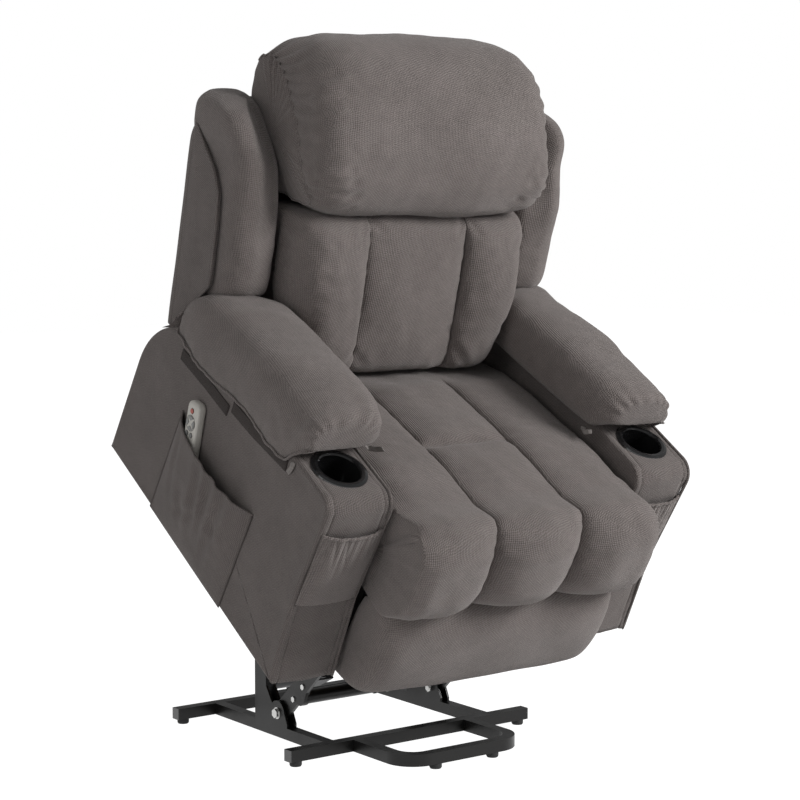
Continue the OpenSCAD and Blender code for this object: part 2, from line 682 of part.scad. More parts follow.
// Cloth pocket that stands off a flat face: closed at its sides and bottom, open on top.
// The face is local z = 0, u runs across and v up.
function pocket_bow(u, v, w, h, b) =
  let (q = 2 * u / w - 1, k = v / h) b * (1 - pow(q, 4)) * pow(k, 0.55) + 1.2 * cos(u * 1440 / w) * k * (1 - pow(q, 8));
module pocket(w, h, b, nu = 14, nv = 6) {
  us = [for (i = [0:nu]) w * (0.5 - 0.5 * cos(180 * i / nu))];
  vs = [for (j = [0:nv]) h * pow(j / nv, 1.3)];
  n = nu + 1;
  m = n * (nv + 1);
  skin = [for (v = vs, u = us) [u, v, max(0.3, pocket_bow(u, v, w, h, b))]];
  polyhedron(
    points = concat(skin, [for (p = skin) p + [0, 0, cloth_t]]),
    faces = concat(
      [for (j = [0:nv - 1], i = [0:nu - 1]) let (a = j * n + i) each
        [[a, a + n + 1, a + n], [a, a + 1, a + n + 1], [a + m, a + m + n, a + m + n + 1],
         [a + m, a + m + n + 1, a + m + 1]]],
      [for (i = [0:nu - 1]) let (a = i, t = nv * n + i) each
        [[a, a + m, a + m + 1], [a, a + m + 1, a + 1], [t, t + m + 1, t + m], [t, t + 1, t + m + 1]]],
      [for (j = [0:nv - 1]) let (a = j * n, t = j * n + nu) each
        [[a, a + n, a + n + m], [a, a + n + m, a + m], [t, t + n + m, t + n], [t, t + m, t + n + m]]]),
    convexity = 6);
}

module side_pocket(s) {
  y0 = -236;
  w = 322;
  color("#4f4843") raised() side(s) translate([arm_out, y0, skirt_z])
    rotate([90, 0, 90]) pocket(w, pocket_top - skirt_z, pocket_bulge);
}
module front_pocket(s) {
  w = arm_w - 22;
  color("#4f4843") raised() side(s) translate([arm_in + 11, pocket_front_y, 229])
    rotate([90, 0, 0]) pocket(w, 172, 18, 10, 5);
}

// ---------------------------------------------------------------- leg rest

module legrest_frame() {
  x0 = seat_half + 1.5;
  back = -434;
  color("#1d1b1a") raised() {
    bar(leg_hinge, leg_bar_r, -x0, x0);
    both() plate(x0, plate_t) {
      at(leg_hinge) circle(r = 17);
      polygon([leg_hinge + [-14, -10], leg_hinge + [14, 10], [back + 22, 300], [back + 22, panel_bottom + 35],
        [back, panel_bottom + 35], [back, 288]]);
    }
    for (z = [panel_bottom + 45, panel_top - 50])
      translate([-x0, back, z]) cube([2 * x0, plate_t, 30]);
  }
}

panel_half = seat_half + 8;
function panel_ring(x) =
  let (w = panel_half, q = abs(x) / w, lift = 42 * pow(max(0, (abs(x) - w + 50) / 50), 2.2),
       full = pow(max(0, 1 - pow(q, 9)), 0.4), z0 = panel_bottom + lift, h = panel_top - z0,
       d = 60 + (panel_depth - 60) * full)
  concat(
    [[x, -434.3, z0 + 6], [x, -434.3, panel_top]],
    [for (i = [0:8]) let (k = i / 8, b = 0.66 + 0.34 * sin(20 + 130 * (1 - k)))
      [x, -434.3 - d * b * (0.1 + 0.9 * pow(max(0, 1 - pow(abs(2 * k - 0.94) / 1.06, 8)), 0.35)), panel_top - h * k]]);
module legrest_panel() {
  color("#5a534e") raised() loft([for (a = [-90:10:90]) panel_ring(panel_half * sin(a))]);
}

// Lower ends of the seat channels. Their top hollows fit round the seat nose, so the
// pad turns about the leg rest hinge without touching it.
function leg_pad_ring(x) =
  let (r = nose_at(x) + 1.6, front = leg_hinge_y - nose_at(x) - 1,
       hollow = arc(leg_hinge, r, 252, 192, 7), z0 = panel_top + 0.3)
  concat(
    [[x, front_rail_y - 2, z0], [x, front_rail_y - 2, z0 + 30], [x, leg_hinge_y - 20, leg_hinge_z - r - 2]],
    [for (p = hollow) [x, p.x, p.y]],
    [for (i = [1:6]) let (k = i / 6, z = leg_hinge_z - 18 - (leg_hinge_z - 18 - z0) * k)
      [x, front + 34 * pow(k, 2.6), z]]);
module legrest_pad() {
  color("#5a534e") raised()
    loft([for (x = stations(seat_seam_x, seat_half)) leg_pad_ring(x)]);
}

// ---------------------------------------------------------------- back

shell_out = shell_w / 2;
shell_t = 12;
shell_rear = 52;
board_y = shell_rear - shell_t - board_t;
strap_top = 300;
wide_half = arm_in - 12.4;
tall_half = 190;
module back_board() {
  color("#b08d5f") back_frame() translate([0, board_y + board_t, 0]) rotate([90, 0, 0]) linear_extrude(board_t) {
    translate([-wide_half, 20]) square([2 * wide_half, strap_top - 15]);
    translate([-tall_half, 20]) square([2 * tall_half, crown_h - 60]);
  }
}
module back_hinges() {
  tip = turned(lever_tip, back_lean);
  color("#1d1b1a") back_frame() {
    difference() {
      both() plate(wide_half, 5.8) {
        circle(r = 22);
        polygon([[-18, 0], [0, -20], [38, 60], [38, strap_top], [8, strap_top], [8, 80]]);
      }
      bar([0, 0], 8 + bolt_fit, -400, 400);
    }
    difference() {
      translate([recline_x, 0, 0]) both() plate(ear_gap / 2, ear_t) {
        polygon([[board_y + 3, 20], [board_y + board_t, 20], tip + [13, 0], tip + [-13, 0]]);
        at(tip) circle(r = 13);
      }
      bar(tip, pin_r + bolt_fit, 0, 200);
    }
    end = ear_gap / 2 + ear_t;
    for (x = [recline_x - end - 5, recline_x + end]) bar(tip, pin_r + 3, x, x + 5);
  }
}

// Side of the shell: a straight front edge that sweeps back at the shoulder
module shell_side_outline() {
  polygon(concat(
    [[shell_rear, 62], [shell_rear, shoulder_h - 12], [shell_rear - 4, shoulder_h - 3], [shell_rear - 12, shoulder_h],
      [30, shoulder_h - 4], [26, shoulder_h - 26], [20, shoulder_h - 80], [-4, shoulder_h - 109]],
    arc([14, shoulder_h - 205], 65, 130, 178, 5),
    [[-50, 130], [-38, 104], [10, 70]]));
}
module back_shell() {
  color("#4a443f") back_frame() {
    both() plate(shell_out - shell_t, shell_t) shell_side_outline();
    both() translate([tall_half + 6, board_y + 0.6, strap_top + 60])
      cube([wing_x0 - tall_half - 7, board_t, shoulder_h - strap_top - 84]);
    translate([0, shell_rear, 0]) rotate([90, 0, 0]) linear_extrude(shell_t) {
      translate([-shell_out + shell_t, 62]) square([shell_w - 2 * shell_t, shoulder_h - 62 - 40]);
      translate([-shell_out + 52, 100]) square([shell_w - 104, shoulder_h - 100]);
      for (i = [-1, 1]) translate([i * (shell_out - 52), shoulder_h - 40]) circle(r = 40);
      translate([-tall_half, 100]) square([2 * tall_half, crown_h - 160]);
      translate([-tall_half + 60, 100]) square([2 * tall_half - 120, crown_h - 100]);
      for (i = [-1, 1]) translate([i * (tall_half - 60), crown_h - 60]) circle(r = 60);
    }
  }
}

// Wing bolster: its front runs up beside the back cushion, then sweeps back to the shoulder.
// Its outer part starts higher, above the arm pad.
wing_x0 = 273;
wing_x1 = shell_out - shell_t - 0.4;
function wing_ring(z) =
  let (k = (z - 96) / 440, back = z < strap_top + 10 ? 6.4 : shell_rear - shell_t - 0.4,
       sweep = shoulder_h - 166,
       in0 = -60 - 76 * sin(90 * min(1, k / 0.16)), out0 = -60 - 76 * pow(sin(90 * min(1, k / 0.31)), 1.7),
       top = z > sweep ? -120 + 147 * (z - sweep) / 175 : -300,
       a = min(back - 14, max(in0, top)), b = min(back - 14, max(out0, top)),
       c = min(back - 6, z < shoulder_h - 158 ? -46 : -46 + 80 * (z - shoulder_h + 158) / 84))
  [[wing_x0, back, z], [wing_x0, min(back - 8, a + 46), z], [wing_x0 + 5, min(back - 9, a + 16), z],
   [wing_x0 + 18, a + 3, z], [wing_x0 + 38, (a + b) / 2, z], [wing_x0 + 62, b + 10, z],
   [wing_x1 - 30, min(back - 6, (b + c) / 2 + 8), z], [wing_x1 - 8, min(back - 4, c + 4), z],
   [wing_x1, min(back - 3, c + 16), z], [wing_x1, back, z]];
module wing(s) {
  zs = concat([96, 110, 130, 155, 190, 250, strap_top + 9, strap_top + 12],
    [for (d = [186, 160, 130, 100, 70, 40, 18, 6]) shoulder_h - d]);
  color("#5a534e") back_frame() side(s) loft([for (z = zs) reversed(wing_ring(z))]);
}

back_half = 271;
// Front of the back cushion across its width: level between the seams, falling to the wings
function back_front(x) = -back_depth + 141 * pow(max(0, (abs(x) - 92) / (back_half - 92)), 1.7);
function back_ring(x) =
  let (f = back_front(x), puff = 22 * crowned(x, back_seam_x, back_half), n = 12, z0 = 8,
       z1 = pillow_z - pillow_h / 2 - 5)
  concat(
    [[x, board_y - 0.4, z1], [x, board_y - 0.4, z0]],
    [for (i = [0:n]) let (k = i / n, e = pow(max(0, 1 - pow(abs(2 * k - 1), 9)), 0.35))
      [x, (f - puff * (0.75 + 0.25 * sin(180 * k))) * e + f * 0.72 * (1 - e), z0 + (z1 - z0) * k]]);
module back_cushion() {
  color("#5a534e") back_frame()
    loft([for (x = stations(back_seam_x, back_half)) reversed(back_ring(x))]);
}

// Head pillow: full in front, flat where it lies on the back board, drawn in at its two
// end seams and narrower towards the board
pillow_y = -198;
pillow_z = shoulder_h + 9;
function pillow_ring(x) =
  let (q = abs(x) / (pillow_w / 2), e = pow(max(0, 1 - pow(q, 9)), 0.45),
       front = pillow_t / 2 * (0.66 + 0.34 * e), b = pillow_h / 2 * (0.84 + 0.16 * e),
       seat = board_y - 0.4 - 126 * pow(max(0, (abs(x) - tall_half) / (pillow_w / 2 - tall_half)), 1.6),
       rear = (seat - pillow_y) * (0.8 + 0.2 * e))
  [for (i = [0:17]) let (t = 20 * i, c = cos(t), s = sin(t), d = pow(abs(c), 0.8))
    [x, pillow_y - (c < 0 ? front * d : 0) + (c > 0 ? rear * d * (s < 0 ? 1 - 0.45 * s * s : 1 - 0.25 * s * s) : 0)
      - 14 * s * e * (c < 0.1 ? 1 : 0), pillow_z + b * sign(s) * pow(abs(s), 0.74)]];
module head_pillow() {
  color("#5a534e") back_frame()
    loft([for (a = [-90:9:90]) pillow_ring(pillow_w / 2 * sin(a))]);
}

// ---------------------------------------------------------------- handset

handset_tilt = -15.5;
handset_at = [-10, 205];
// Handset frame: local +Z runs along the handset, local +X out of its face
module handset_frame() {
  raised() translate([-arm_out - 0.4, handset_at.x, handset_at.y]) rotate([handset_tilt, 0, 0]) mirror([1, 0, 0]) children();
}
module handset_shape(w, l, t, r) {
  rotate([90, 0, 90]) linear_extrude(t) {
    translate([-w / 2 + r, 0]) square([w - 2 * r, l]);
    translate([-w / 2, r]) square([w, l - 2 * r]);
    for (i = [-1, 1], z = [r, l - r]) translate([i * (w / 2 - r), z]) circle(r);
  }
}
key_depth = 4;
key_gap = 0.4;
pad_z = handset_l - 46;
key_r = 15;
button_zs = [handset_l - 70, handset_l - 84];
module key_sector(a) { rotate(a) polygon(concat([[4, 4]], arc([0, 0], key_r, 8, 82, 6))); }
module key_cut() {
  translate([handset_t - key_depth, 0, 0]) {
    translate([0, 0, handset_l - 20]) rotate([0, 90, 0]) cylinder(r = 5 + key_gap, h = 10);
    translate([0, 0, pad_z]) rotate([0, 90, 0]) cylinder(r = key_r + key_gap, h = 10);
    for (i = [-1, 1]) translate([0, i * 8, button_zs[0]]) rotate([0, 90, 0]) cylinder(r = 4.5 + key_gap, h = 10);
  }
}
module handset() {
  color("#d8d5cd") handset_frame() difference() {
    union() {
      handset_shape(handset_w, handset_l, handset_t - 4, 14);
      translate([handset_t - 4, 0, 3]) handset_shape(handset_w - 6, handset_l - 6, 4, 12);
    }
    key_cut();
  }
}
module round_key(p, r) {
  translate([handset_t - key_depth + 1.4, p.x, p.y]) rotate([0, 90, 0]) cylinder(r = r, h = key_depth - 1.4 + key_proud);
}
module power_button() { color("#c23b2e") handset_frame() round_key([0, handset_l - 20], 5); }
module round_button(i) { color("#8f8f8f") handset_frame() round_key([i * 8, button_zs[0]], 4.5); }
module key(a) {
  color("#9a9a98") handset_frame() translate([handset_t - key_depth + 1.4, 0, pad_z])
    rotate([90, 0, 90]) linear_extrude(key_depth - 1.4 + key_proud) key_sector(a);
}

// ---------------------------------------------------------------- recline drive

recline_aim = heading(recline_pin - recline_anchor);
recline_len = norm(recline_pin - recline_anchor);
module recline_motor() {
  color("#2a2a2a") raised() along(recline_anchor, recline_aim, recline_x)
    linear_motor(recline_len - 110, rod_bore);
}
module recline_rod() {
  color("#c4c4c2") raised() along(recline_pin, recline_aim, recline_x) motor_rod(recline_len, 195);
}

front_cross_tube();
rear_cross_tube();
side_rails();
front_loop();
pivot_bracket(-1);  // pivot_bracket_left
pivot_bracket(1);  // pivot_bracket_right
base_feet();
tube_end_caps();
motor_anchor();
base_pivot_bolts();
lift_arm(-1);  // lift_arm_left
lift_arm(1);  // lift_arm_right
torsion_tube();
arm_bolts();
guide_link(-1);  // guide_link_left
guide_link(1);  // guide_link_right
guide_bolts();
lift_motor();
lift_rod();
chassis_sides();
chassis_front_tube();
chassis_rear_tube();
lift_brackets();
chassis_bolts();
seat_front_rail();
leg_lugs();
seat_side_boards();
seat_deck();
seat_cushion();
arm(-1);  // arm_left
arm(1);  // arm_right
arm_pad(-1);  // arm_pad_left
arm_pad(1);  // arm_pad_right
cup_holder(-1);  // cup_holder_left
cup_holder(1);  // cup_holder_right
front_pocket(-1);  // front_pocket_left
front_pocket(1);  // front_pocket_right
side_pocket(-1);  // side_pocket_left
side_pocket(1);  // side_pocket_right
recline_motor();
recline_rod();
legrest_frame();
legrest_panel();
legrest_pad();
back_board();
back_hinges();
back_shell();
wing(-1);  // wing_left
wing(1);  // wing_right
back_cushion();
head_pillow();
handset();
power_button();
key(45);  // key_up
key(225);  // key_down
key(135);  // key_front
key(-45);  // key_rear
round_button(-1);  // round_button_a
round_button(1);  // round_button_b
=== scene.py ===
"""Looks of the lift recliner chair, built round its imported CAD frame.

Soft pieces are drawn in millimetres in one of two frames: the seat frame, where the chair is
lowered and level, and the back frame, which leans from the back hinge. to_world() brings both
to the rest pose, in metres.
"""
import json
import math

import bmesh
import bpy
import numpy as np
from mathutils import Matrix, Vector


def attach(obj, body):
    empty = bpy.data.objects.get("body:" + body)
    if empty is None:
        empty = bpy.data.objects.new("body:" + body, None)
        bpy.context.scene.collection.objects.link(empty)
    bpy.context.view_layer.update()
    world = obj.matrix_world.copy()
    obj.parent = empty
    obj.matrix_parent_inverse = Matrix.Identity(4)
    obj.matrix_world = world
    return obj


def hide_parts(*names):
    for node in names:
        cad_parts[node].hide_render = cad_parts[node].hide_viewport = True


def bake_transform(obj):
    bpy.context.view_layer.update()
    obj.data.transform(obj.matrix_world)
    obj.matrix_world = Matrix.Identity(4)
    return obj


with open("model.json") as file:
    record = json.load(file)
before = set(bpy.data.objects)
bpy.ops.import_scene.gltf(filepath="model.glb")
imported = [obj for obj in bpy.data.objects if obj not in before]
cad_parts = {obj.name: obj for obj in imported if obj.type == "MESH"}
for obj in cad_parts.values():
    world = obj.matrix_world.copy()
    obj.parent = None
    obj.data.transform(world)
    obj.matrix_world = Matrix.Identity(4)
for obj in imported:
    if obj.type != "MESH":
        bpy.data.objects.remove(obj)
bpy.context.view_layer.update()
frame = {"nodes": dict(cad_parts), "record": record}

# ------------------------------------------------------------------ frames and numbers

TILT = math.radians(33)
LIFT = np.array([0, 237.5, 434.9])
LEAN = math.radians(-18.5)
HINGE = np.array([0, 230, 330])

# Half widths, seams and heights of the soft pieces, in mm.
LEG_HINGE = np.array([-482, 385])
SEAT_HALF, SEAT_SEAM = 294, 110
OUTER_PUFF = 207
PANEL_REAR, PANEL_TOP = -434.3, 255
ARM_IN, ARM_OUT = 315, 465
CUP_X, CUP_Y, CUP_BORE = 390, -335, 45.6
ARM_TOP, ARM_FRONT, ARM_BEND = 476, -262, 127
BACK_HALF, BACK_SEAM = 302, 127
PILLOW_SEAM = 304
SHELL_OUT = 440
SHELL_REAR, SHELL_FILL = (40.8, 52), (20.8, 40.4)


def turn_x(p, a):
    c, s = math.cos(a), math.sin(a)
    return np.stack([p[..., 0], p[..., 1] * c - p[..., 2] * s, p[..., 1] * s + p[..., 2] * c], -1)


def to_world(p, space):
    p = np.asarray(p, float)
    if space == "back":
        p = turn_x(p, LEAN) + HINGE
    return (turn_x(p, TILT) + LIFT) / 1000


def clamp(v):
    return np.minimum(1.0, np.maximum(0.0, v))


def smooth(v):
    v = clamp(v)
    return v * v * (3 - 2 * v)


def waves(p, size, seed):
    """Soft irregular field, about -1 to 1, with features about size across."""
    n = 7
    rng = np.random.RandomState(seed)
    out = np.zeros(p.shape[:-1])
    for _ in range(n):
        d = rng.normal(size=3)
        d *= 2 * math.pi / (size * rng.uniform(0.8, 1.9) * np.linalg.norm(d))
        out += np.sin(p @ d + rng.uniform(0, 2 * math.pi))
    return out / n ** 0.5


def channel(x, s, w):
    """Fullness, 0 to 1, of three channels with seams at s and sides at w."""
    u = np.where(np.abs(x) < s, x / s, (np.abs(x) - (s + w) / 2) / ((w - s) / 2))
    return clamp(1 - np.abs(u) ** 2.4) ** 0.55


def stations(s, w, k):
    """Places across three channels, closer together at the seams and sides."""
    a = np.linspace(-math.pi / 2, math.pi / 2, 2 * k + 1)
    m, h = (w + s) / 2, (w - s) / 2
    return np.concatenate([-m + h * np.sin(a), s * np.sin(a)[1:], m + h * np.sin(a)[1:]])


def arc(c, r, a0, a1, n):
    a = np.radians(np.linspace(a0, a1, n + 1))
    return np.stack([c[0] + r * np.cos(a), c[1] + r * np.sin(a)], -1)


def curve(points, n):
    """Smooth closed curve through the points, as n points."""
    p = np.asarray(points, float)
    t = np.arange(n) * len(p) / n
    i = t.astype(int)
    f = (t - i)[:, None]
    a, b, c, d = (p[(i + k) % len(p)] for k in (-1, 0, 1, 2))
    return 0.5 * (2 * b + (c - a) * f + (2 * a - 5 * b + 4 * c - d) * f ** 2
                  + (3 * b - a - 3 * c + d) * f ** 3)


def resample(path, step):
    """The same path in the plane or in space, with points about step apart and its corners kept."""
    out = []
    for a, b in zip(path[:-1], path[1:]):
        n = max(1, int(round(np.linalg.norm(b - a) / step)))
        out += [a + (b - a) * i / n for i in range(n)]
    return np.array(out + [path[-1]])


def normals(g):
    """Unit normals of a grid of points, along the cross product of its two directions."""
    n = np.cross(np.gradient(g, axis=0), np.gradient(g, axis=1))
    return n / np.maximum(1e-9, np.linalg.norm(n, axis=-1, keepdims=True))


def facing(g, at, axis, sign):
    """Normals of a grid, turned so that the one at a place points along sign on an axis."""
    n = normals(g)
    return n if n[at][axis] * sign > 0 else -n


def at_x(x, line):
    return np.column_stack([np.full(len(line), x), line])


def flat_back(q, level):
    """Points of a board that stands behind the back, from x and z, and how far to the rear."""
    return np.stack([q[:, 0], level, q[:, 1]], -1)


def side_name(sign):
    return "right" if sign > 0 else "left"


def crease(p, a, b, width, depth):
    """Depth of a soft fold that runs from a to b, with a low ridge beside it."""
    a, b = np.array(a, float), np.array(b, float)
    t = clamp(((p - a) @ (b - a)) / ((b - a) @ (b - a)))
    d = np.linalg.norm(p - (a + t[..., None] * (b - a)), axis=-1) / width
    fade = np.sin(math.pi * (0.08 + 0.84 * t)) ** 0.7
    return depth * fade * (-np.exp(-d * d) + 0.55 * np.exp(-((d - 1.7) ** 2) * 1.3))


def fold(g, front, a, b, width, depth):
    """A crease between two places given by x and z, laid on the front part of the grid."""
    p = g[front]
    ends = [p[np.argmin(np.abs(p[:, 0] - q[0]) + np.abs(p[:, 2] - q[1]))] for q in (a, b)]
    return crease(g, ends[0], ends[1], width, depth)


# ------------------------------------------------------------------ meshes


class Shape:
    """Points and faces of one piece, gathered from grids, caps and piping."""

    def __init__(self):
        self.points, self.faces, self.count = [], [], 0

    def add(self, pts, faces):
        pts = np.asarray(pts, float).reshape(-1, 3)
        self.points.append(pts)
        self.faces += [tuple(i + self.count for i in f) for f in faces]
        self.count += len(pts)

    def grid(self, g, wrap_u=False, wrap_v=False, cap=False):
        """A grid of quads. wrap_v closes each row, and cap fills the first and last rows."""
        m, n = g.shape[:2]
        faces = []
        for i in range(m if wrap_u else m - 1):
            for j in range(n if wrap_v else n - 1):
                k, l = (i + 1) % m, (j + 1) % n
                faces.append((i * n + j, k * n + j, k * n + l, i * n + l))
        if cap:
            for o in (0, (m - 1) * n):
                strip = [(i, i + 1, n - 2 - i, n - 1 - i) for i in range((n - 1) // 2)]
                faces += [tuple(o + v for v in dict.fromkeys(f)) for f in strip]
        self.add(g, faces)

    def sheet(self, g, t):
        """A closed skin of thickness t behind the grid g."""
        back = g - normals(g) * t
        m, n = g.shape[:2]
        o = m * n
        faces = []
        for i in range(m - 1):
            for j in range(n - 1):
                a, b, c, d = i * n + j, (i + 1) * n + j, (i + 1) * n + j + 1, i * n + j + 1
                faces += [(a, b, c, d), (o + a, o + d, o + c, o + b)]
        edge = [(i * n, (i + 1) * n) for i in range(m - 1)]
        edge += [((m - 1) * n + j, (m - 1) * n + j + 1) for j in range(n - 1)]
        edge += [((i + 1) * n + n - 1, i * n + n - 1) for i in range(m - 1)]
        edge += [(j + 1, j) for j in range(n - 1)]
        faces += [(b, a, o + a, o + b) for a, b in edge]
        self.add(np.concatenate([g.reshape(-1, 3), back.reshape(-1, 3)]), faces)

    def tube(self, path, r, closed=False, n=8):
        """Piping or tape along a path. r is one radius or (half width, half thickness, width axis)."""
        path = np.asarray(path, float)
        if closed:
            t = np.roll(path, -1, 0) - np.roll(path, 1, 0)
        else:
            t = np.gradient(path, axis=0)
        t /= np.maximum(1e-9, np.linalg.norm(t, axis=1, keepdims=True))
        if np.isscalar(r):
            ref, ru, rv = np.array([0.31, 0.17, 0.93]), r, r
            if np.abs(t @ ref).max() > 0.97:
                ref = np.array([0.93, 0.31, 0.17])
        else:
            ru, rv, ref = r[0], r[1], np.asarray(r[2], float)
        u = ref - t * (t @ ref)[:, None]
        u /= np.linalg.norm(u, axis=1, keepdims=True)
        v = np.cross(t, u)
        a = 2 * math.pi * np.arange(n) / n
        e = 0.5 if not np.isscalar(r) else 1.0
        cu = np.sign(np.cos(a)) * np.abs(np.cos(a)) ** e
        cv = np.sign(np.sin(a)) * np.abs(np.sin(a)) ** e
        g = path[:, None] + ru * cu[None, :, None] * u[:, None] + rv * cv[None, :, None] * v[:, None]
        self.grid(g, wrap_u=closed, wrap_v=True, cap=not closed)


MATERIALS = {}


def piece(name, shape, space, material, body, nodes=(), subdiv=1):
    """One soft piece from a shape in the given space: weave coordinates, smooth shading, its material in one slot,
    outward faces and subdivision, then onto its body in place of the CAD nodes it hides.
    """
    pts = np.concatenate(shape.points)
    mesh = bpy.data.meshes.new(name)
    mesh.from_pydata(to_world(pts, space).tolist(), [], shape.faces)
    mesh.validate()
    weave_uv(mesh, pts)
    mesh.shade_smooth()
    obj = bpy.data.objects.new(name, mesh)
    bpy.context.scene.collection.objects.link(obj)
    mesh.materials.append(MATERIALS[material])
    fix_normals(mesh)
    if subdiv:
        sub = obj.modifiers.new("soft", "SUBSURF")
        sub.levels = sub.render_levels = subdiv
        bake_modifiers(obj)
    if body:
        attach(obj, body)
    if nodes:
        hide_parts(*nodes)
    return obj


def weave_uv(mesh, pts):
    """Real-scale coordinates for the weave: each face is laid flat along its own main direction."""
    count = len(mesh.loops)
    corner = np.empty(count, int)
    mesh.loops.foreach_get("vertex_index", corner)
    size = np.empty(len(mesh.polygons), int)
    mesh.polygons.foreach_get("loop_total", size)
    start = np.concatenate([[0], np.cumsum(size)[:-1]])
    p = pts[corner]
    b, c = (p[start + np.where(size < 5, k, k * size // 3)] - p[start] for k in (1, 2))
    axis = np.repeat(np.abs(np.cross(b, c)).argmax(1), size)
    flat = np.where((axis == 0)[:, None], p[:, 1:], np.where((axis == 1)[:, None], p[:, ::2], p[:, :2])) / 1000
    mesh.uv_layers.new(name="weave").data.foreach_set("uv", flat.astype(np.float32).ravel())


def fix_normals(mesh):
    """Turns all faces outward."""
    bm = bmesh.new()
    bm.from_mesh(mesh)
    bmesh.ops.recalc_face_normals(bm, faces=bm.faces)
    bm.to_mesh(mesh)
    bm.free()


def bake_modifiers(obj):
    """Keeps what the modifiers make as the object's own mesh."""
    graph = bpy.context.evaluated_depsgraph_get()
    mesh = bpy.data.meshes.new_from_object(obj.evaluated_get(graph), depsgraph=graph)
    old = obj.data
    obj.modifiers.clear()
    obj.data = mesh
    mesh.name = obj.name
    bpy.data.meshes.remove(old)


# ------------------------------------------------------------------ materials


class Nodes:
    """A material and short ways to add nodes to it."""

    def __init__(self, name):
        self.mat = bpy.data.materials.new(name)
        self.mat.use_nodes = True
        self.tree = self.mat.node_tree
        self.bsdf = self.tree.nodes["Principled BSDF"]
        MATERIALS[name] = self.mat

    def add(self, kind, **values):
        node = self.tree.nodes.new(kind)
        for key, value in values.items():
            if hasattr(node, key):
                setattr(node, key, value)
        return node

    def link(self, a, b):
        self.tree.links.new(a, b)

    def math(self, op, a, b=None, c=None):
        node = self.add("ShaderNodeMath", operation=op)
        for socket, value in zip(node.inputs, (a, b, c)):
            if value is None:
                continue
            if isinstance(value, (int, float)):
                socket.default_value = value
            else:
                self.link(value, socket)
        return node.outputs[0]

    def noise(self, vector, scale, detail=3, rough=0.55):
        node = self.add("ShaderNodeTexNoise")
        node.inputs["Scale"].default_value = scale
        node.inputs["Detail"].default_value = detail
        node.inputs["Roughness"].default_value = rough
        self.link(vector, node.inputs["Vector"])
        return node.outputs["Fac"]

    def remap(self, value, a, b, c, d):
        node = self.add("ShaderNodeMapRange")
        for key, v in zip(("From Min", "From Max", "To Min", "To Max"), (a, b, c, d)):
            node.inputs[key].default_value = v
        self.link(value, node.inputs["Value"])
        return node.outputs["Result"]

    def mix(self, fac, a, b):
        node = self.add("ShaderNodeMix", data_type="RGBA")
        self.link(fac, node.inputs["Factor"])
        for socket, value in ((node.inputs[6], a), (node.inputs[7], b)):
            if isinstance(value, tuple):
                socket.default_value = (*value, 1)
            else:
                self.link(value, socket)
        return node.outputs[2]

    def bump(self, height, strength, distance, normal=None):
        node = self.add("ShaderNodeBump")
        node.inputs["Strength"].default_value = strength
        node.inputs["Distance"].default_value = distance
        self.link(height, node.inputs["Height"])
        if normal is not None:
            self.link(normal, node.inputs["Normal"])
        return node.outputs["Normal"]

    def set(self, **values):
        for key, value in values.items():
            self.bsdf.inputs[key.replace("_", " ")].default_value = value


def scaled(c, k):
    return tuple(v * k for v in c)


def fabric(name, base, period=0.0046, sheen=0.3):
    """Woven chenille: a diagonal weave of small tufts, a slight melange and a brushed nap."""
    n = Nodes(name)
    uv = n.add("ShaderNodeUVMap", uv_map="weave").outputs["UV"]
    obj = n.add("ShaderNodeTexCoord").outputs["Object"]
    warp = n.noise(uv, 26, 2)
    turn = n.add("ShaderNodeMapping")
    turn.inputs["Rotation"].default_value = (0, 0, math.radians(38))
    turn.inputs["Scale"].default_value = (2 * math.pi / period,) * 3
    n.link(uv, turn.inputs["Vector"])
    parts = n.add("ShaderNodeSeparateXYZ")
    n.link(turn.outputs["Vector"], parts.inputs[0])
    wobble = n.math("MULTIPLY", warp, 5.0)
    su = n.math("SINE", n.math("ADD", parts.outputs["X"], wobble))
    sv = n.math("SINE", n.math("SUBTRACT", n.math("MULTIPLY", parts.outputs["Y"], 0.72), wobble))
    weave = n.math("MULTIPLY_ADD", n.math("MULTIPLY", su, sv), 0.5, 0.5)
    fuzz = n.noise(obj, 620, 2, 0.7)
    nap = n.noise(obj, 9, 4, 0.6)
    patch = n.noise(obj, 46, 3, 0.6)
    # the tone follows the weave, darker in its pits: partly the weave's own pattern, partly painted shade in the pits
    tone = n.math("MULTIPLY_ADD", weave, 0.85, n.remap(fuzz, 0.25, 0.75, -0.24, 0.20))
    tone = n.math("ADD", tone, n.remap(nap, 0.3, 0.7, -0.05, 0.17))
    tone = n.math("ADD", tone, n.remap(patch, 0.3, 0.7, -0.04, 0.12))
    colour = n.mix(tone, scaled(base, 0.52), scaled(base, 1.55))
    warm = n.mix(n.remap(fuzz, 0.35, 0.65, 0.0, 0.22), colour, (base[0] * 1.5, base[1] * 1.3, base[2] * 1.15))
    n.link(warm, n.bsdf.inputs["Base Color"])
    n.link(n.remap(patch, 0.3, 0.7, 0.82, 0.97), n.bsdf.inputs["Roughness"])
    height = n.math("MULTIPLY_ADD", fuzz, 0.6, weave)
    soft = n.bump(n.noise(obj, 38, 4, 0.62), 0.22, 0.006)
    n.link(n.bump(height, 0.9, 0.0014, soft), n.bsdf.inputs["Normal"])
    n.set(Sheen_Weight=sheen, Sheen_Roughness=0.42, Specular_IOR_Level=0.18)
    n.bsdf.inputs["Sheen Tint"].default_value = (0.95, 0.92, 0.9, 1)
    return n


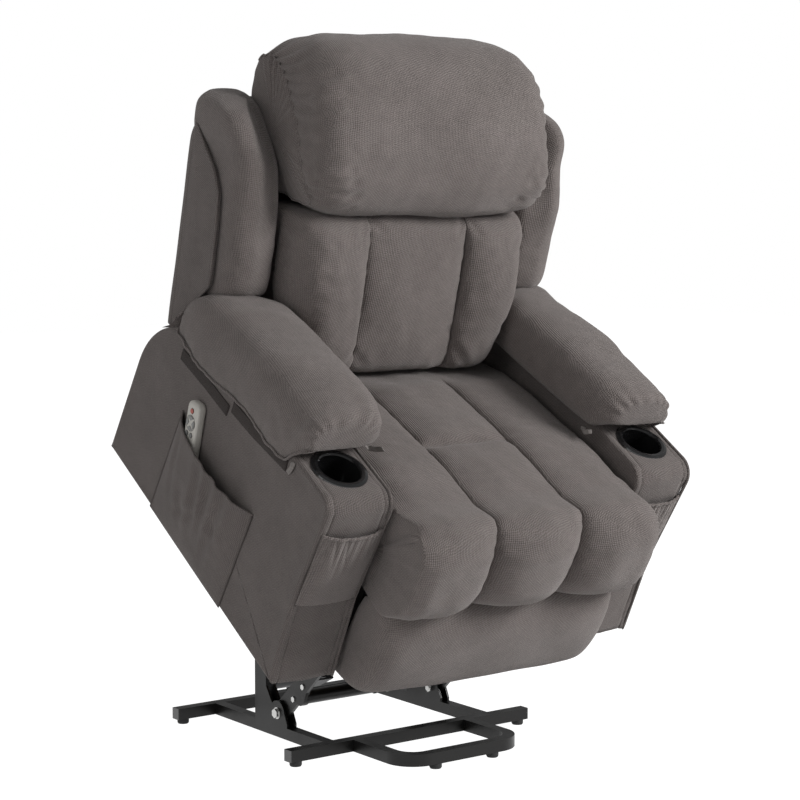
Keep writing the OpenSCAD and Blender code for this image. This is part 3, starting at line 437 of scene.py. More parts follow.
def solid(name, base, rough=(0.35, 0.55), metallic=0.0, grain=900, bump=(0.12, 0.0002), spread=0.16,
          scratch=None, coat=0.0):
    """Paint, metal or plastic with a fine surface, uneven gloss, slight dust and worn scratches."""
    n = Nodes(name)
    obj = n.add("ShaderNodeTexCoord").outputs["Object"]
    broad = n.noise(obj, 14, 4, 0.6)
    fine = n.noise(obj, grain, 2, 0.6)
    colour = n.mix(n.remap(broad, 0.3, 0.7, 0.0, 1.0), scaled(base, 1 - spread), scaled(base, 1 + spread))
    if scratch:
        streak = n.add("ShaderNodeMapping")
        streak.inputs["Scale"].default_value = (1.0, 0.18, 1.0)
        n.link(obj, streak.inputs["Vector"])
        mark = n.remap(n.noise(streak.outputs["Vector"], 260, 4, 0.75), 0.69, 0.76, 0.0, 0.55)
        colour = n.mix(mark, colour, scratch)
    n.link(colour, n.bsdf.inputs["Base Color"])
    n.link(n.remap(broad, 0.3, 0.7, *rough), n.bsdf.inputs["Roughness"])
    n.link(n.bump(fine, *bump), n.bsdf.inputs["Normal"])
    n.set(Metallic=metallic, Coat_Weight=coat, Coat_Roughness=0.08)
    return n


def timber(name, base):
    n = Nodes(name)
    obj = n.add("ShaderNodeTexCoord").outputs["Object"]
    long = n.add("ShaderNodeMapping")
    long.inputs["Scale"].default_value = (1.0, 9.0, 9.0)
    n.link(obj, long.inputs["Vector"])
    grain = n.noise(long.outputs["Vector"], 7, 6, 0.7)
    fibre = n.noise(long.outputs["Vector"], 70, 3, 0.6)
    tone = n.math("ADD", n.remap(grain, 0.35, 0.65, 0.0, 0.7), n.remap(fibre, 0.3, 0.7, 0.0, 0.3))
    n.link(n.mix(tone, scaled(base, 0.55), scaled(base, 1.2)), n.bsdf.inputs["Base Color"])
    n.link(n.remap(fibre, 0.3, 0.7, 0.55, 0.8), n.bsdf.inputs["Roughness"])
    n.link(n.bump(fibre, 0.3, 0.0006), n.bsdf.inputs["Normal"])


CLOTH = (0.148, 0.131, 0.126)
fabric("cushion_fabric", CLOTH)
fabric("side_fabric", scaled(CLOTH, 0.86), sheen=0.24)
fabric("piping_fabric", scaled(CLOTH, 0.70), period=0.0024, sheen=0.16)
# near-black cloth for the strip under the arm pads' flaps: painted shadow of the flap
fabric("painted_flap_shadow", (0.050, 0.042, 0.040), period=0.0022, sheen=0.1)
fabric("loop_tape", (0.30, 0.28, 0.27), period=0.0018, sheen=0.1)
solid("black_steel", (0.006, 0.0057, 0.0054), (0.26, 0.42), grain=1400, bump=(0.18, 0.0002),
      scratch=(0.08, 0.08, 0.08)).set(Specular_IOR_Level=0.32)
solid("bright_steel", (0.60, 0.60, 0.59), (0.22, 0.42), metallic=1.0, grain=700)
solid("rubber", (0.018, 0.018, 0.018), (0.62, 0.85), grain=500, bump=(0.25, 0.0003), spread=0.3)
solid("black_plastic", (0.010, 0.010, 0.0105), (0.07, 0.16), grain=300, bump=(0.03, 0.0002), coat=0.4)
solid("motor_housing", (0.028, 0.028, 0.030), (0.42, 0.58), grain=1800, bump=(0.35, 0.0003))
solid("handset_shell", (0.52, 0.50, 0.46), (0.34, 0.48), grain=1600, bump=(0.15, 0.0002), spread=0.05)
solid("power_key", (0.42, 0.075, 0.045), (0.30, 0.42), spread=0.08)
solid("grey_key", (0.22, 0.22, 0.215), (0.34, 0.48), spread=0.08)
solid("dark_gap", (0.03, 0.03, 0.03), (0.6, 0.8))
timber("timber", (0.42, 0.29, 0.17))

slots = {row["node"]: row["material_slot"] for row in frame["record"]["subparts"]}
for node, obj in frame["nodes"].items():
    obj.data.materials.clear()
    obj.data.materials.append(MATERIALS[slots[node]])

# ------------------------------------------------------------------ seat and leg rest


def seat_line(y):
    """Height of the seat's seams, by how far to the rear."""
    return 400 + 36 * clamp((20 - y) / 340)


def roller(x):
    """Roundness of the puffs in front: each is a full roll between its deep seams."""
    x = abs(x)
    if x < SEAT_SEAM:
        full = 1 - (x / SEAT_SEAM) ** 2
    elif x < OUTER_PUFF:
        full = 1 - ((x - OUTER_PUFF) / 97) ** 2
    else:
        full = 1 - ((x - OUTER_PUFF) / 92) ** 8
    return float(clamp(full)) ** 0.5


def seat_cover():
    """One cover over the seat, the nose and the puffs that hang in front of the leg rest."""
    xs = stations(SEAT_SEAM, SEAT_HALF, 11)
    puff = channel(xs, SEAT_SEAM, SEAT_HALF)
    ys = np.concatenate([[150, 90, 45, 20], np.linspace(5, -200, 15), np.linspace(-208, -272, 11),
                         np.linspace(-285, -440, 11)])
    hy, hz = LEG_HINGE
    outer, inner = [], []
    for x, q in zip(xs, puff):
        roll = roller(x)
        cross = 1 - 0.92 * np.exp(-(np.abs(ys + 240 + 3 * np.cos(x / 40)) / 14) ** 1.15) * (abs(x) < SEAT_SEAM)
        length = 0.9 + 0.1 * np.sin(math.pi * clamp((-ys - 20) / 420))
        top = np.stack([ys, seat_line(ys) - 45 * clamp((ys - 20) / 130)
                        + 25 * q * cross * clamp((20 - ys) / 50) * length], -1)
        turn = np.linspace(101, 180, 15)
        deep_in = smooth((turn - 101) / 60)
        r = (68 + 25 * q) * (1 - deep_in) + (38 + 55 * roll) * deep_in
        nose = np.stack([hy + r * np.cos(np.radians(turn)), hz + r * np.sin(np.radians(turn))], -1)
        end = 232 + 22 * (1 - roll)
        k = np.linspace(0.08, 1, 15)
        drop = np.stack([hy - r[-1] - 7 * roll * np.sin(math.pi * k) + (12 + 42 * roll) * k ** 4.5,
                         hz - (hz - end - 12) * k], -1)
        last = drop[-1]
        hem = last + [[10, -8], [24, -12], [36, -8]]
        line = np.concatenate([top, nose, drop, hem])
        deep = float(smooth((abs(x) - 283) / 7))
        wall = hy - 14 + 74 * deep
        under = np.stack([np.maximum(ys, wall - 0.02 * (wall - ys)), np.full(len(ys), 345.5)], -1)
        bend = arc((hy, hz), 13, 95, 180, 15)
        bend += deep * (np.column_stack([np.full(16, wall), np.linspace(345, 338, 16)]) - bend)
        fall = np.stack([wall + (1 - k) * (1 - deep), 290 + (hz - 290 - 50 * deep) * (1 - k)], -1)
        floor = np.concatenate([under, bend, fall, [[wall, end + 22], [wall + 1, end + 14], [wall + 3, end + 8]]])
        for path, rows in ((line, outer), (floor, inner)):
            flare = 10 * deep * smooth((456 - path[:, 1]) / 12) * smooth((-394 - path[:, 0]) / 10)
            rows.append(np.column_stack([x + np.sign(x) * flare, path]))
    g = np.array(outer)
    n = facing(g, (len(xs) // 2, 10), 2, 1)
    along = np.cumsum(np.linalg.norm(np.diff(g, axis=1, prepend=g[:, :1]), axis=-1), axis=1)
    seam = np.minimum(np.abs(np.abs(g[..., 0]) - SEAT_SEAM), SEAT_HALF - np.abs(g[..., 0]))
    side = np.sin(along / 3.9 + 2.2 * np.sin(along / 47) + np.where(g[..., 0] > 0, 1.7, 0))
    move = 1.3 * np.exp(-seam / 11) * side * (seam > 1)
    move += 1.5 * waves(g, 95, 3) * smooth(seam / 40) + 0.7 * waves(g * [1, 1.6, 1.6], 38, 5)
    cross = np.abs(g[..., 1] + 240)
    move += 1.1 * np.exp(-cross / 10) * np.sin(g[..., 0] / 4.2) * (np.abs(g[..., 0]) < 100)
    for a, b, w, d in (((-285, -330, 452), (-232, -345, 462), 11, 3.5),
                       ((-290, -560, 330), (-245, -572, 322), 7, 4),
                       ((-290, -556, 300), (-252, -568, 296), 6, 3.5), ((110, -562, 360), (150, -575, 350), 8, 3),
                       ((-110, -470, 455), (-70, -492, 462), 9, 3), ((288, -300, 450), (250, -315, 458), 7, 4),
                       ((108, -280, 452), (76, -262, 455), 8, 3), ((-108, -210, 448), (-70, -222, 452), 8, 3),
                       ((110, -555, 400), (140, -574, 388), 7, 2.5), ((-112, -560, 350), (-145, -572, 338), 8, 3)):
        move += crease(g, a, b, w, d)
    g = g + n * move[..., None]
    ring = np.concatenate([g, np.array(inner)[:, ::-1]], axis=1)
    s = Shape()
    m, c = ring.shape[0], g.shape[1]
    s.grid(ring, wrap_v=True)
    strip = [tuple(reversed((i, i + 1, 2 * c - 2 - i, 2 * c - 1 - i))) for i in range(c - 1)]
    s.faces += strip + [tuple(reversed([(m - 1) * 2 * c + v for v in f])) for f in strip]
    obj = piece("seat_cover", s, "seat", "cushion_fabric", None, ["seat_cushion", "legrest_pad"])
    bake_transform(obj)


def legrest_panel():
    """Padded board of the leg rest, with a rounded front, drawn-in corners and a seam round its side."""
    w = SEAT_HALF + 8
    xs = w * np.sin(np.linspace(-math.pi / 2, math.pi / 2, 41))
    kk = np.linspace(0, 1, 27)
    rings = []
    for x in xs:
        q = abs(x) / w
        z0 = 27 + 14 * max(0, (abs(x) - w + 30) / 30) ** 2.2
        full = max(0, 1 - q ** 9) ** 0.4
        d = 60 + 63 * full
        b = 0.66 + 0.34 * np.sin(np.radians(20 + 130 * (1 - kk)))
        e = 0.1 + 0.9 * clamp(1 - (np.abs(2 * kk - 0.94) / 1.06) ** np.where(kk < 0.47, 5, 8)) ** 0.35
        front = np.stack([np.full(27, x), PANEL_REAR - d * b * e, PANEL_TOP - (PANEL_TOP - z0) * kk], -1)
        rear = np.array([[x, PANEL_REAR, z] for z in (z0 + 6, (z0 + PANEL_TOP) / 2, PANEL_TOP)])
        rings.append(np.concatenate([front, rear]))
    g = np.array(rings)
    move = 1.6 * waves(g, 130, 8) + 0.6 * waves(g, 42, 9)
    g[:, :27, 1] += (move * smooth((PANEL_TOP - g[..., 2]) / 30))[:, :27] * smooth(3 * (1 - np.abs(g[:, :27, 0]) / w))
    s = Shape()
    s.grid(g, wrap_v=True, cap=True)
    for side in (1, -1):
        path = resample(np.array([(side * (w - 3), PANEL_REAR - 54, z) for z in (238, 150, 85)]), 12)
        s.tube(path, 2.6)
    piece("legrest_panel_pad", s, "seat", "cushion_fabric", "leg_rest", ["legrest_panel"])


# ------------------------------------------------------------------ back


def back_cushion():
    """Three full channels between the wings, narrower at the foot, where the arm pads press in."""
    xs = stations(BACK_SEAM, BACK_HALF, 12)
    kk = np.concatenate([[0, 0.008, 0.02, 0.04], np.linspace(0.07, 0.93, 30), [0.96, 0.98, 0.992, 1]])
    z0, z1 = 8, 358
    zs = z0 + (z1 - z0) * kk
    waist = np.interp(zs, [8, 40, 86, 141, 200, 240], [54, 44, 30, 14, 2, 0])
    full = 0.5 + 0.5 * np.sin(math.pi * kk) ** 0.8
    rings = []
    for x in xs:
        out = max(0, abs(x) - BACK_SEAM) / (BACK_HALF - BACK_SEAM)
        f = -212 + 72 * out ** 9
        puff = (46 if abs(x) > BACK_SEAM else 26) * channel(np.array(x), BACK_SEAM, BACK_HALF) ** 0.8
        e = clamp(1 - np.abs(2 * kk - 1) ** 9) ** 0.35
        y = (f - puff * full) * e + f * 0.72 * (1 - e)
        px = x - np.sign(x) * waist * out
        front = np.stack([px, y, zs], -1)
        rear = np.array([[px[-1], 18.5, z1], [px[len(px) // 2], 18.5, (z0 + z1) / 2], [px[0], 18.5, z0]])
        rings.append(np.concatenate([front, rear]))
    g = np.array(rings)
    c = len(kk)
    f = g[:, :c]
    n = facing(f, (len(xs) // 2, 15), 1, -1)
    seam = np.minimum(np.abs(np.abs(f[..., 0]) - BACK_SEAM), BACK_HALF - np.abs(f[..., 0]))
    move = 1.7 * np.exp(-seam / 12) * np.sin(f[..., 2] / 4.3 + np.sin(f[..., 2] / 31) * 2) * (seam > 1)
    move += 2.0 * waves(f, 110, 12) * smooth(seam / 40) + 0.8 * waves(f, 40, 13)
    every = np.ones(f.shape[:2], bool)
    for a, b, w, d in (((-296, 338), (-226, 300), 9, 6), ((-298, 300), (-232, 262), 8, 5.5),
                       ((-298, 262), (-240, 228), 9, 4.5), ((-292, 214), (-246, 190), 9, 3.5),
                       ((296, 330), (236, 300), 9, 4.5), ((-290, 120), (-240, 84), 10, 5),
                       ((-132, 70), (-178, 36), 10, 4), ((132, 70), (170, 34), 10, 3.5),
                       ((-122, 346), (-92, 318), 7, 4), ((122, 348), (96, 320), 7, 4),
                       ((-134, 346), (-160, 322), 7, 3.5), ((134, 346), (156, 324), 7, 3.5),
                       ((286, 150), (246, 112), 10, 4.5), ((270, 70), (230, 46), 10, 4),
                       ((-122, 60), (-88, 36), 9, 3), ((124, 120), (96, 104), 8, 2.5)):
        move += fold(f, every, a, b, w, 1.6 * d)
    g[:, :c] = f + n * move[..., None]
    s = Shape()
    s.grid(g, wrap_v=True, cap=True)
    piece("back_cushion_pad", s, "back", "cushion_fabric", "back", ["back_cushion"])


# Outline of the head pillow in the plane of y and z, at its end seams and at its middle.
PILLOW_END = [(19.5, 520), (19.5, 430), (2, 392), (-95, 379), (-175, 376), (-212, 390), (-208, 420), (-187, 460),
              (-161, 515), (-130, 566), (-98, 608), (-62, 636), (-26, 646), (4, 634), (19, 596)]
PILLOW_MID = [(19.5, 520), (19.5, 420), (0, 366), (-100, 352), (-195, 352), (-248, 378), (-272, 425), (-276, 480),
              (-266, 540), (-244, 600), (-206, 662), (-142, 704), (-64, 706), (0, 680), (19, 622)]


def head_pillow():
    """Big pillow that hangs over the back cushion, gathered into its end seams, with bulged end panels."""
    count = 96
    xs = PILLOW_SEAM * np.sin(np.linspace(-math.pi / 2, math.pi / 2, 65))
    th = 2 * math.pi * np.arange(count) / count
    end, mid = curve(PILLOW_END, count), curve(PILLOW_MID, count)

    def ring(x):
        q = min(1, abs(x) / PILLOW_SEAM)
        w = np.array([(1 - q ** 14) ** 0.5, (1 - q ** 7) ** 1.2])
        row = np.column_stack([np.full(count, x), end + (mid - end) * w])
        row[:, 0] *= 1 - 0.09 * q * q * smooth((445 - row[:, 2]) / 80)
        return row

    g = np.array([ring(x) for x in xs])
    n = facing(np.concatenate([g, g[:, :1]], 1), (32, count // 2), 1, -1)[:, :-1]
    edge = PILLOW_SEAM - np.abs(g[..., 0])
    run = 26 * th + 1.6 * np.sin(3 * th) + np.where(g[..., 0] > 0, 0.7, 2.1)
    reach = 34 + 14 * np.sin(5 * th + 1) + 9 * np.sin(11 * th)
    tuck = smooth((np.abs(np.sin(th))[None, :] - 0.1) / 0.5) * 0.6 + 0.7
    soft = smooth((15 - g[..., 1]) / 30)
    move = 4.2 * np.exp(-edge / reach) * np.sin(run) * tuck - 2.0 * np.exp(-edge / 8)
    move += 2.8 * waves(g, 170, 21) * smooth(edge / 60) + 1.2 * waves(g, 60, 22)
    front = np.zeros(g.shape[:2], bool)
    front[:, count // 4:3 * count // 4] = True
    for p, q, w, d in (((-300, 560), (-236, 618), 9, 6), ((-300, 532), (-232, 588), 8, 5.5),
                       ((-301, 505), (-238, 548), 8, 5), ((-301, 478), (-240, 508), 8, 4.5),
                       ((-301, 448), (-236, 470), 8, 5.5),
                       ((-301, 420), (-228, 446), 8, 6), ((-300, 398), (-214, 414), 8, 5.5),
                       ((-296, 384), (-205, 388), 7, 4), ((-298, 596), (-250, 645), 9, 5),
                       ((300, 408), (236, 446), 8, 6), ((301, 430), (250, 478), 8, 5), ((298, 392), (214, 408), 8, 5.5),
                       ((301, 470), (262, 505), 8, 3.5), ((300, 560), (256, 600), 9, 4),
                       ((296, 618), (240, 650), 9, 3.5)):
        move += fold(g, front, p, q, w, 1.5 * d)
    g = g + n * (move * soft)[..., None]
    caps = []
    centre = np.array([-92, 505])
    for sign, row in ((-1, 0), (1, -1)):
        rings = []
        for k in (0.985, 0.95, 0.87, 0.74, 0.56, 0.36, 0.16, 0.05):
            r = g[row].copy()
            r[:, 1:] = centre + (r[:, 1:] - centre) * k
            bulge = 10 * math.sqrt(1 - k * k)
            r[:, 0] = sign * (PILLOW_SEAM + bulge) + (r[:, 0] - sign * PILLOW_SEAM) * k ** 2
            r[:, 0] += sign * (1.5 * np.sin(24 * th + 1.1) * k ** 8 + 1.0 * waves(r, 60, 30 + sign) * (1 - k ** 6))
            rings.append(r)
        caps.append(rings)
    s = Shape()
    s.grid(np.concatenate([np.array(caps[0][::-1]), g, np.array(caps[1])]), wrap_v=True, cap=True)
    for row in (0, -1):
        path = g[row].copy()
        away = path[:, 1:] - centre
        path[:, 1:] += away / np.linalg.norm(away, axis=1, keepdims=True) * 1.2
        path = path[path[:, 1] < 12]
        s.tube(path, 2.3)
    piece("head_pillow_pad", s, "back", "cushion_fabric", "back", ["head_pillow"])


# How far forward a wing reaches, by height: beside the cushion, at its outer roll and at the shell's edge.
WING_IN = np.array([
    (96, -50), (128, -62), (145, -92), (160, -128), (172, -154), (184, -165), (204, -169), (281, -171),
    (362, -166), (434, -145), (470, -120), (491, -100), (525, -66), (550, -38), (563, -20)])
WING_OUT = np.array([
    (96, -46), (128, -58), (145, -88), (160, -126), (172, -156), (184, -170), (204, -175), (279, -179),
    (358, -184), (445, -171), (500, -156), (524, -140), (542, -118), (555, -92), (563, -66)])
SHELL_EDGE = np.array([
    (88, -47), (105, -50), (125, -62), (148, -82), (168, -100), (190, -120), (217, -122), (311, -119),
    (379, -111), (420, -85), (463, -35), (496, 0), (530, 12), (563, 14)])


def wing(sign):
    """Bolster beside the back cushion: it runs up past the arm pad and rolls back at the shoulder."""
    zs = np.concatenate([[96, 104, 116, 128, 138, 148, 158, 168, 178, 190, 206],
                         np.linspace(225, 505, 17), [520, 532, 542, 550, 556, 560, 563]])
    x0, x1 = 309, 427
    rings = []
    for z in zs:
        back = 6.4 + 32 * smooth((z - 306) / 20)
        a, b, c = (float(np.interp(z, *table.T)) for table in (WING_IN, WING_OUT, SHELL_EDGE))
        top = clamp((z - 522) / 41)
        i, o = x0 + 24 * top ** 3, x1 + 12 * smooth((z - 452) / 44) - 34 * top ** 3
        rear = min(back - 4, c + 60) if z < 470 else min(back - 8, 16)
        rings.append([(i, back, z), (i, (back + a + 35) / 2, z), (i, min(back - 8, a + 35), z),
                      (i + 5, min(back - 9, a + 17), z), (i + 17, a + 5, z), (i + 35, a, z),
                      ((i + o) / 2 + 2, (a + b) / 2 - 3, z), (o - 45, b, z), (o - 22, min(b + 7, c + 2), z),
                      (o - 8, min(b + 21, c + 5), z), (o, min(b + 44, c + 10), z),
                      (o, (min(b + 44, c + 10) + rear) / 2, z), (o, rear, z), (o - 12, min(back, rear + 14), z),
                      (o - 40, back, z)])
    g = np.array(rings) * [sign, 1, 1]
    move = 1.9 * waves(g, 90, 40 + sign) + 0.9 * waves(g, 36, 42 + sign)
    g[:, 2:11, 1] += move[:, 2:11]
    front = np.zeros(g.shape[:2], bool)
    front[:, 2:11] = True
    for p, q, w, d in (((316, 215), (356, 190), 9, 5), ((314, 290), (350, 276), 8, 4), ((412, 380), (372, 400), 9, 4.5),
                       ((414, 350), (380, 352), 8, 3.5), ((416, 250), (378, 262), 9, 4), ((330, 470), (366, 492), 9, 4),
                       ((410, 430), (380, 456), 9, 3.5)):
        g[..., 1] -= np.where(front, fold(g, front, (sign * p[0], p[1]), (sign * q[0], q[1]), w, d), 0)
    s = Shape()
    s.grid(g, wrap_v=True, cap=True)
    side = side_name(sign)
    piece("wing_pad_" + side, s, "back", "cushion_fabric", "back", ["wing_" + side], subdiv=2)


def rounded(outline, insets):
    """Copies of one closed outline, each moved in by an inset."""
    p = np.asarray(outline, float)
    t = np.roll(p, -1, 0) - np.roll(p, 1, 0)
    t /= np.linalg.norm(t, axis=1, keepdims=True)
    n = np.stack([-t[:, 1], t[:, 0]], -1)
    x, y = p[:, 0], p[:, 1]
    if np.sum(x * np.roll(y, -1) - np.roll(x, -1) * y) < 0:
        n = -n
    return [p + n * i for i in insets]


def slab(s, outline, lo, hi, place, r=5, bow=0.0, centre=None, seed=0, rows=9):
    """Upholstered board: a closed outline between two levels, with soft edges and a bowed upper face."""
    a = np.radians([90, 60, 30, 0])
    insets = list(r * (1 - np.cos(a))) + list(r * (1 - np.cos(a[::-1])))
    levels = list(lo + r * (1 - np.sin(a))) + list(hi - r * (1 - np.sin(a[::-1])))
    edges = rounded(outline, insets)
    c = np.mean(outline, 0) if centre is None else np.array(centre, float)

    def cap(row, level, bow):
        return [place(c + (row - c) * k, np.full(len(row), level + bow * (1 - k ** 2.2)))
                for k in np.linspace(0.97, 0.04, rows)]

    grid = cap(edges[0], levels[0], 0)[::-1]
    grid += [place(row, np.full(len(row), h)) for row, h in zip(edges, levels)]
    grid += cap(edges[-1], levels[-1], bow)
    g = np.array(grid)
    if seed:
        field = 0.9 * waves(g, 120, seed) + 0.4 * waves(g, 45, seed + 1)
        axis = place(np.zeros((1, 2)), np.ones(1))[0] - place(np.zeros((1, 2)), np.zeros(1))[0]
        fade = np.zeros(len(g))
        fade[:rows - 1] = fade[-(rows - 1):] = 1
        inward = np.sign(np.arange(len(g)) - len(g) / 2)[:, None, None]
        g = g - axis * np.abs(field * fade[:, None])[..., None] * inward
    s.grid(g, wrap_v=True, cap=True)


def back_shell():
    """Padded outside of the back: side panels, rounded rear corners and a tall rear panel, all piped."""
    s = Shape()
    edge = SHELL_EDGE[SHELL_EDGE[:, 0] < 500][::-1, ::-1]
    side = resample(np.concatenate([[[3, 66], [3, 300], [4, 440], [6, 500]], edge, [[3, 66]]]), 14)[:-1]
    for sign in (1, -1):
        slab(s, side, SHELL_OUT - 12, SHELL_OUT, lambda q, h, k=sign: np.column_stack([k * h, q]), r=4,
             bow=2.5, centre=(-55, 280), seed=50 + sign)
        a = np.radians(np.linspace(-4, 94, 11))[:, None]
        z = np.concatenate([[66, 69], np.linspace(85, 500, 24), [512, 520, 524]])[None, :]
        pull = 26 * smooth((z - 470) / 60)
        corner = np.stack([sign * (388 + (51.5 - pull) * np.cos(a)), 3 + (48.5 - 0.6 * pull) * np.sin(a),
                           z + 0 * a], -1)
        corner[..., 1] += 0.9 * waves(corner, 130, 56 + sign)
        s.sheet(corner if sign > 0 else corner[::-1], 9)
    crown = np.concatenate([[[206, 540], [206, 556]], arc((174, 630), 32, 0, 90, 6),
                            arc((-174, 630), 32, 90, 180, 6), [[-206, 556], [-206, 540]]])
    shoulder = np.concatenate([[[-353, 62], [353, 62], [388, 90], [388, 504]], arc((352, 504), 36, 0, 90, 6),
                               [[262, 541]]])
    rear = np.concatenate([shoulder, crown[1:-1], [[-262, 541]], arc((-352, 504), 36, 90, 180, 6), [[-388, 90]]])
    rear = resample(np.concatenate([rear, rear[:1]]), 16)[:-1]
    slab(s, rear, *SHELL_REAR, flat_back, r=5, bow=6, centre=(0, 300), seed=54, rows=12)
    for sign in (1, -1):
        box = [(sign * x, z) for x, z in ((197, 362), (382, 362), (382, 498), (350, 531), (262, 534), (197, 550))]
        slab(s, resample(np.array(box + box[:1], float), 15)[:-1], *SHELL_FILL, flat_back, r=4)
    band = resample(rounded(crown, [3])[0][1:-1], 12)
    s.tube(flat_back(band, np.full(len(band), 32.0)), (11.5, 3.2, (0, 1, 0)))
    for sign in (1, -1):
        s.tube(at_x(sign * (SHELL_OUT - 1.5), resample(edge[:-1], 10) - [1.0, 0]), 3.4)
    piece("back_shell_cover", s, "back", "side_fabric", "back", ["back_shell"])
    p = Shape()
    p.tube(flat_back(rounded(rear, [-1.0])[0], np.full(len(rear), 51.0)), 3.2, closed=True)
    piece("back_piping", p, "back", "piping_fabric", "back", subdiv=0)


# ------------------------------------------------------------------ arms


def arm_top(y):
    """Height of the arm: level in front, falling to the rear, then round."""
    y = np.asarray(y, float)
    slope = ARM_TOP - 33 * (y - ARM_FRONT) / (ARM_BEND - ARM_FRONT)
    bend = 278 + np.sqrt(np.maximum(0, 165 ** 2 - (y - ARM_BEND) ** 2))
    return np.where(y < ARM_FRONT, ARM_TOP, np.where(y < ARM_BEND, slope, bend))


def arm_outline():
    path = np.concatenate([
        [[-459, 46], [292, 46], [292, 278]], arc((ARM_BEND, 278), 165, 0, 90, 26)[1:],
        [[ARM_FRONT, ARM_TOP]], arc((-397, 440), 36, 90, 180, 12), [[-433, 228], [-459, 46]]])
    return resample(path, 11)[:-1]


def arm(sign):
    """Upholstered arm: two flat sides and a boxing strip between piped, topstitched seams."""
    outline = arm_outline()
    xs = [315, 315.6, 317.4, 320.5, 325, 330, 331.6, 333.2, 340, 355, 372]
    xs += [CUP_X] + [round(2 * CUP_X - x, 1) for x in xs[::-1]]
    ins = [8.5, 5.2, 2.4, 0.6, 0, 0, 1.5, 0, -0.4, -1.2, -1.8]
    ins += [-2.0] + ins[::-1]
    centre = np.array([-80, 250.0])
    rows = rounded(outline, ins)
    grid = []
    for k in np.linspace(0.05, 0.985, 14):
        grid.append(at_x(ARM_IN, centre + (rows[0] - centre) * k))
    grid += [at_x(x, r) for r, x in zip(rows, xs)]
    for k in np.linspace(0.985, 0.05, 14):
        grid.append(at_x(ARM_OUT, centre + (rows[-1] - centre) * k))
    g = np.array(grid)
    dent = np.abs(1.0 * waves(g, 150, 60 + sign) + 0.5 * waves(g, 55, 62 + sign))
    for a, b, w, d in (((465, -430, 420), (465, -380, 330), 12, 2.5), ((465, -425, 300), (465, -400, 180), 12, 2.0),
                       ((465, 250, 330), (465, 200, 200), 16, 1.8), ((465, -250, 400), (465, -120, 385), 14, 1.5)):
        dent += np.maximum(0, -crease(g, a, b, w, d))
    g[:14, :, 0] += dent[:14]
    g[-14:, :, 0] -= dent[-14:]
    strip = slice(14, 14 + len(xs))
    front = smooth((-300 - g[strip, :, 1]) / 60)
    pull = 1.2 * waves(g[strip] * [1.4, 0.5, 0.5], 34, 66 + sign) * front
    g[strip, :, 1] += pull
    s = Shape()
    s.grid(g * [sign, 1, 1], wrap_v=True, cap=True)
    for x in (317.6, 462.4):
        s.tube(at_x(sign * x, rounded(outline, [-0.2])[0]), 3.5, closed=True)
    side = side_name(sign)
    obj = piece("arm_cover_" + side, s, "seat", "side_fabric", "chassis", ["arm_" + side], subdiv=0)
    bore = Shape()
    a = 2 * math.pi * np.arange(64) / 64
    ring = np.stack([sign * CUP_X + CUP_BORE * np.cos(a), CUP_Y + CUP_BORE * np.sin(a), 0 * a], -1)
    bore.grid(np.array([ring + [0, 0, z] for z in (399, 520)]), wrap_v=True, cap=True)
    cut_mesh = bpy.data.meshes.new("bore")
    cut_mesh.from_pydata(to_world(np.concatenate(bore.points), "seat").tolist(), [], bore.faces)
    fix_normals(cut_mesh)
    cut = bpy.data.objects.new("bore", cut_mesh)
    bpy.context.scene.collection.objects.link(cut)
    mod = obj.modifiers.new("cup", "BOOLEAN")
    mod.operation, mod.solver, mod.object = "DIFFERENCE", "EXACT", cut
    bake_modifiers(obj)
    bpy.data.objects.remove(cut)


PAD_Y0, PAD_Y1 = -314, 206
PAD_FOOT = CUP_Y + 62


def pad_ring(y):
    """Section of an arm pad: the outer flap, the flat underside, then the round top."""
    n = 26
    s = abs((2 * y - PAD_Y0 - PAD_Y1) / (PAD_Y1 - PAD_Y0))
    full = max(0, 1 - s ** 9) ** 0.4 if y < 0 else max(0, 1 - s ** 5) ** 0.45
    lift = max(0, PAD_FOOT - y)
    t = float(arm_top(y)) + 0.4 + 6 * lift ** 0.45 * min(1, lift / 8) + 1.5 * min(1, max(0, (y - 60) / 40))
    x0 = ARM_IN - 52 + 12 * max(0, -y / 314) ** 2 + 58 * (1 - full) + 155 * max(0, (y - 100) / 106) ** 1.4
    x2 = ARM_OUT + 11 - 30 * (1 - full)
    top = float(arm_top(y)) + 24 + 104 * full + 46 * (1 - full) * min(1, lift / 40)
    drop = 2 + (20 + 7 * math.sin(y / 52)) * full * (1 - min(1, lift / 60))
    rise = max(8, top - t - 10)
    x1 = ARM_OUT + 0.6
    out = [(x1, y, t - drop), (x1, y, t), (x0 + 34, y, t), (x0 + 8, y, t + 2)]
    for i in range(n + 1):
        a = math.pi * (0.35 + (n - 0.7) * i / n) / n
        c = math.cos(a)
        out.append(((x0 + x2) / 2 - (x2 - x0) / 2 * np.sign(c) * abs(c) ** 0.75, y,
                    t + 10 + (-drop + 4) * (1 - c) / 2 + rise * math.sin(a) ** 0.62))
    out += [(x2 - 1.5, y, t - drop + 4), (x2 - 9, y, t - drop)]
    return np.array(out)


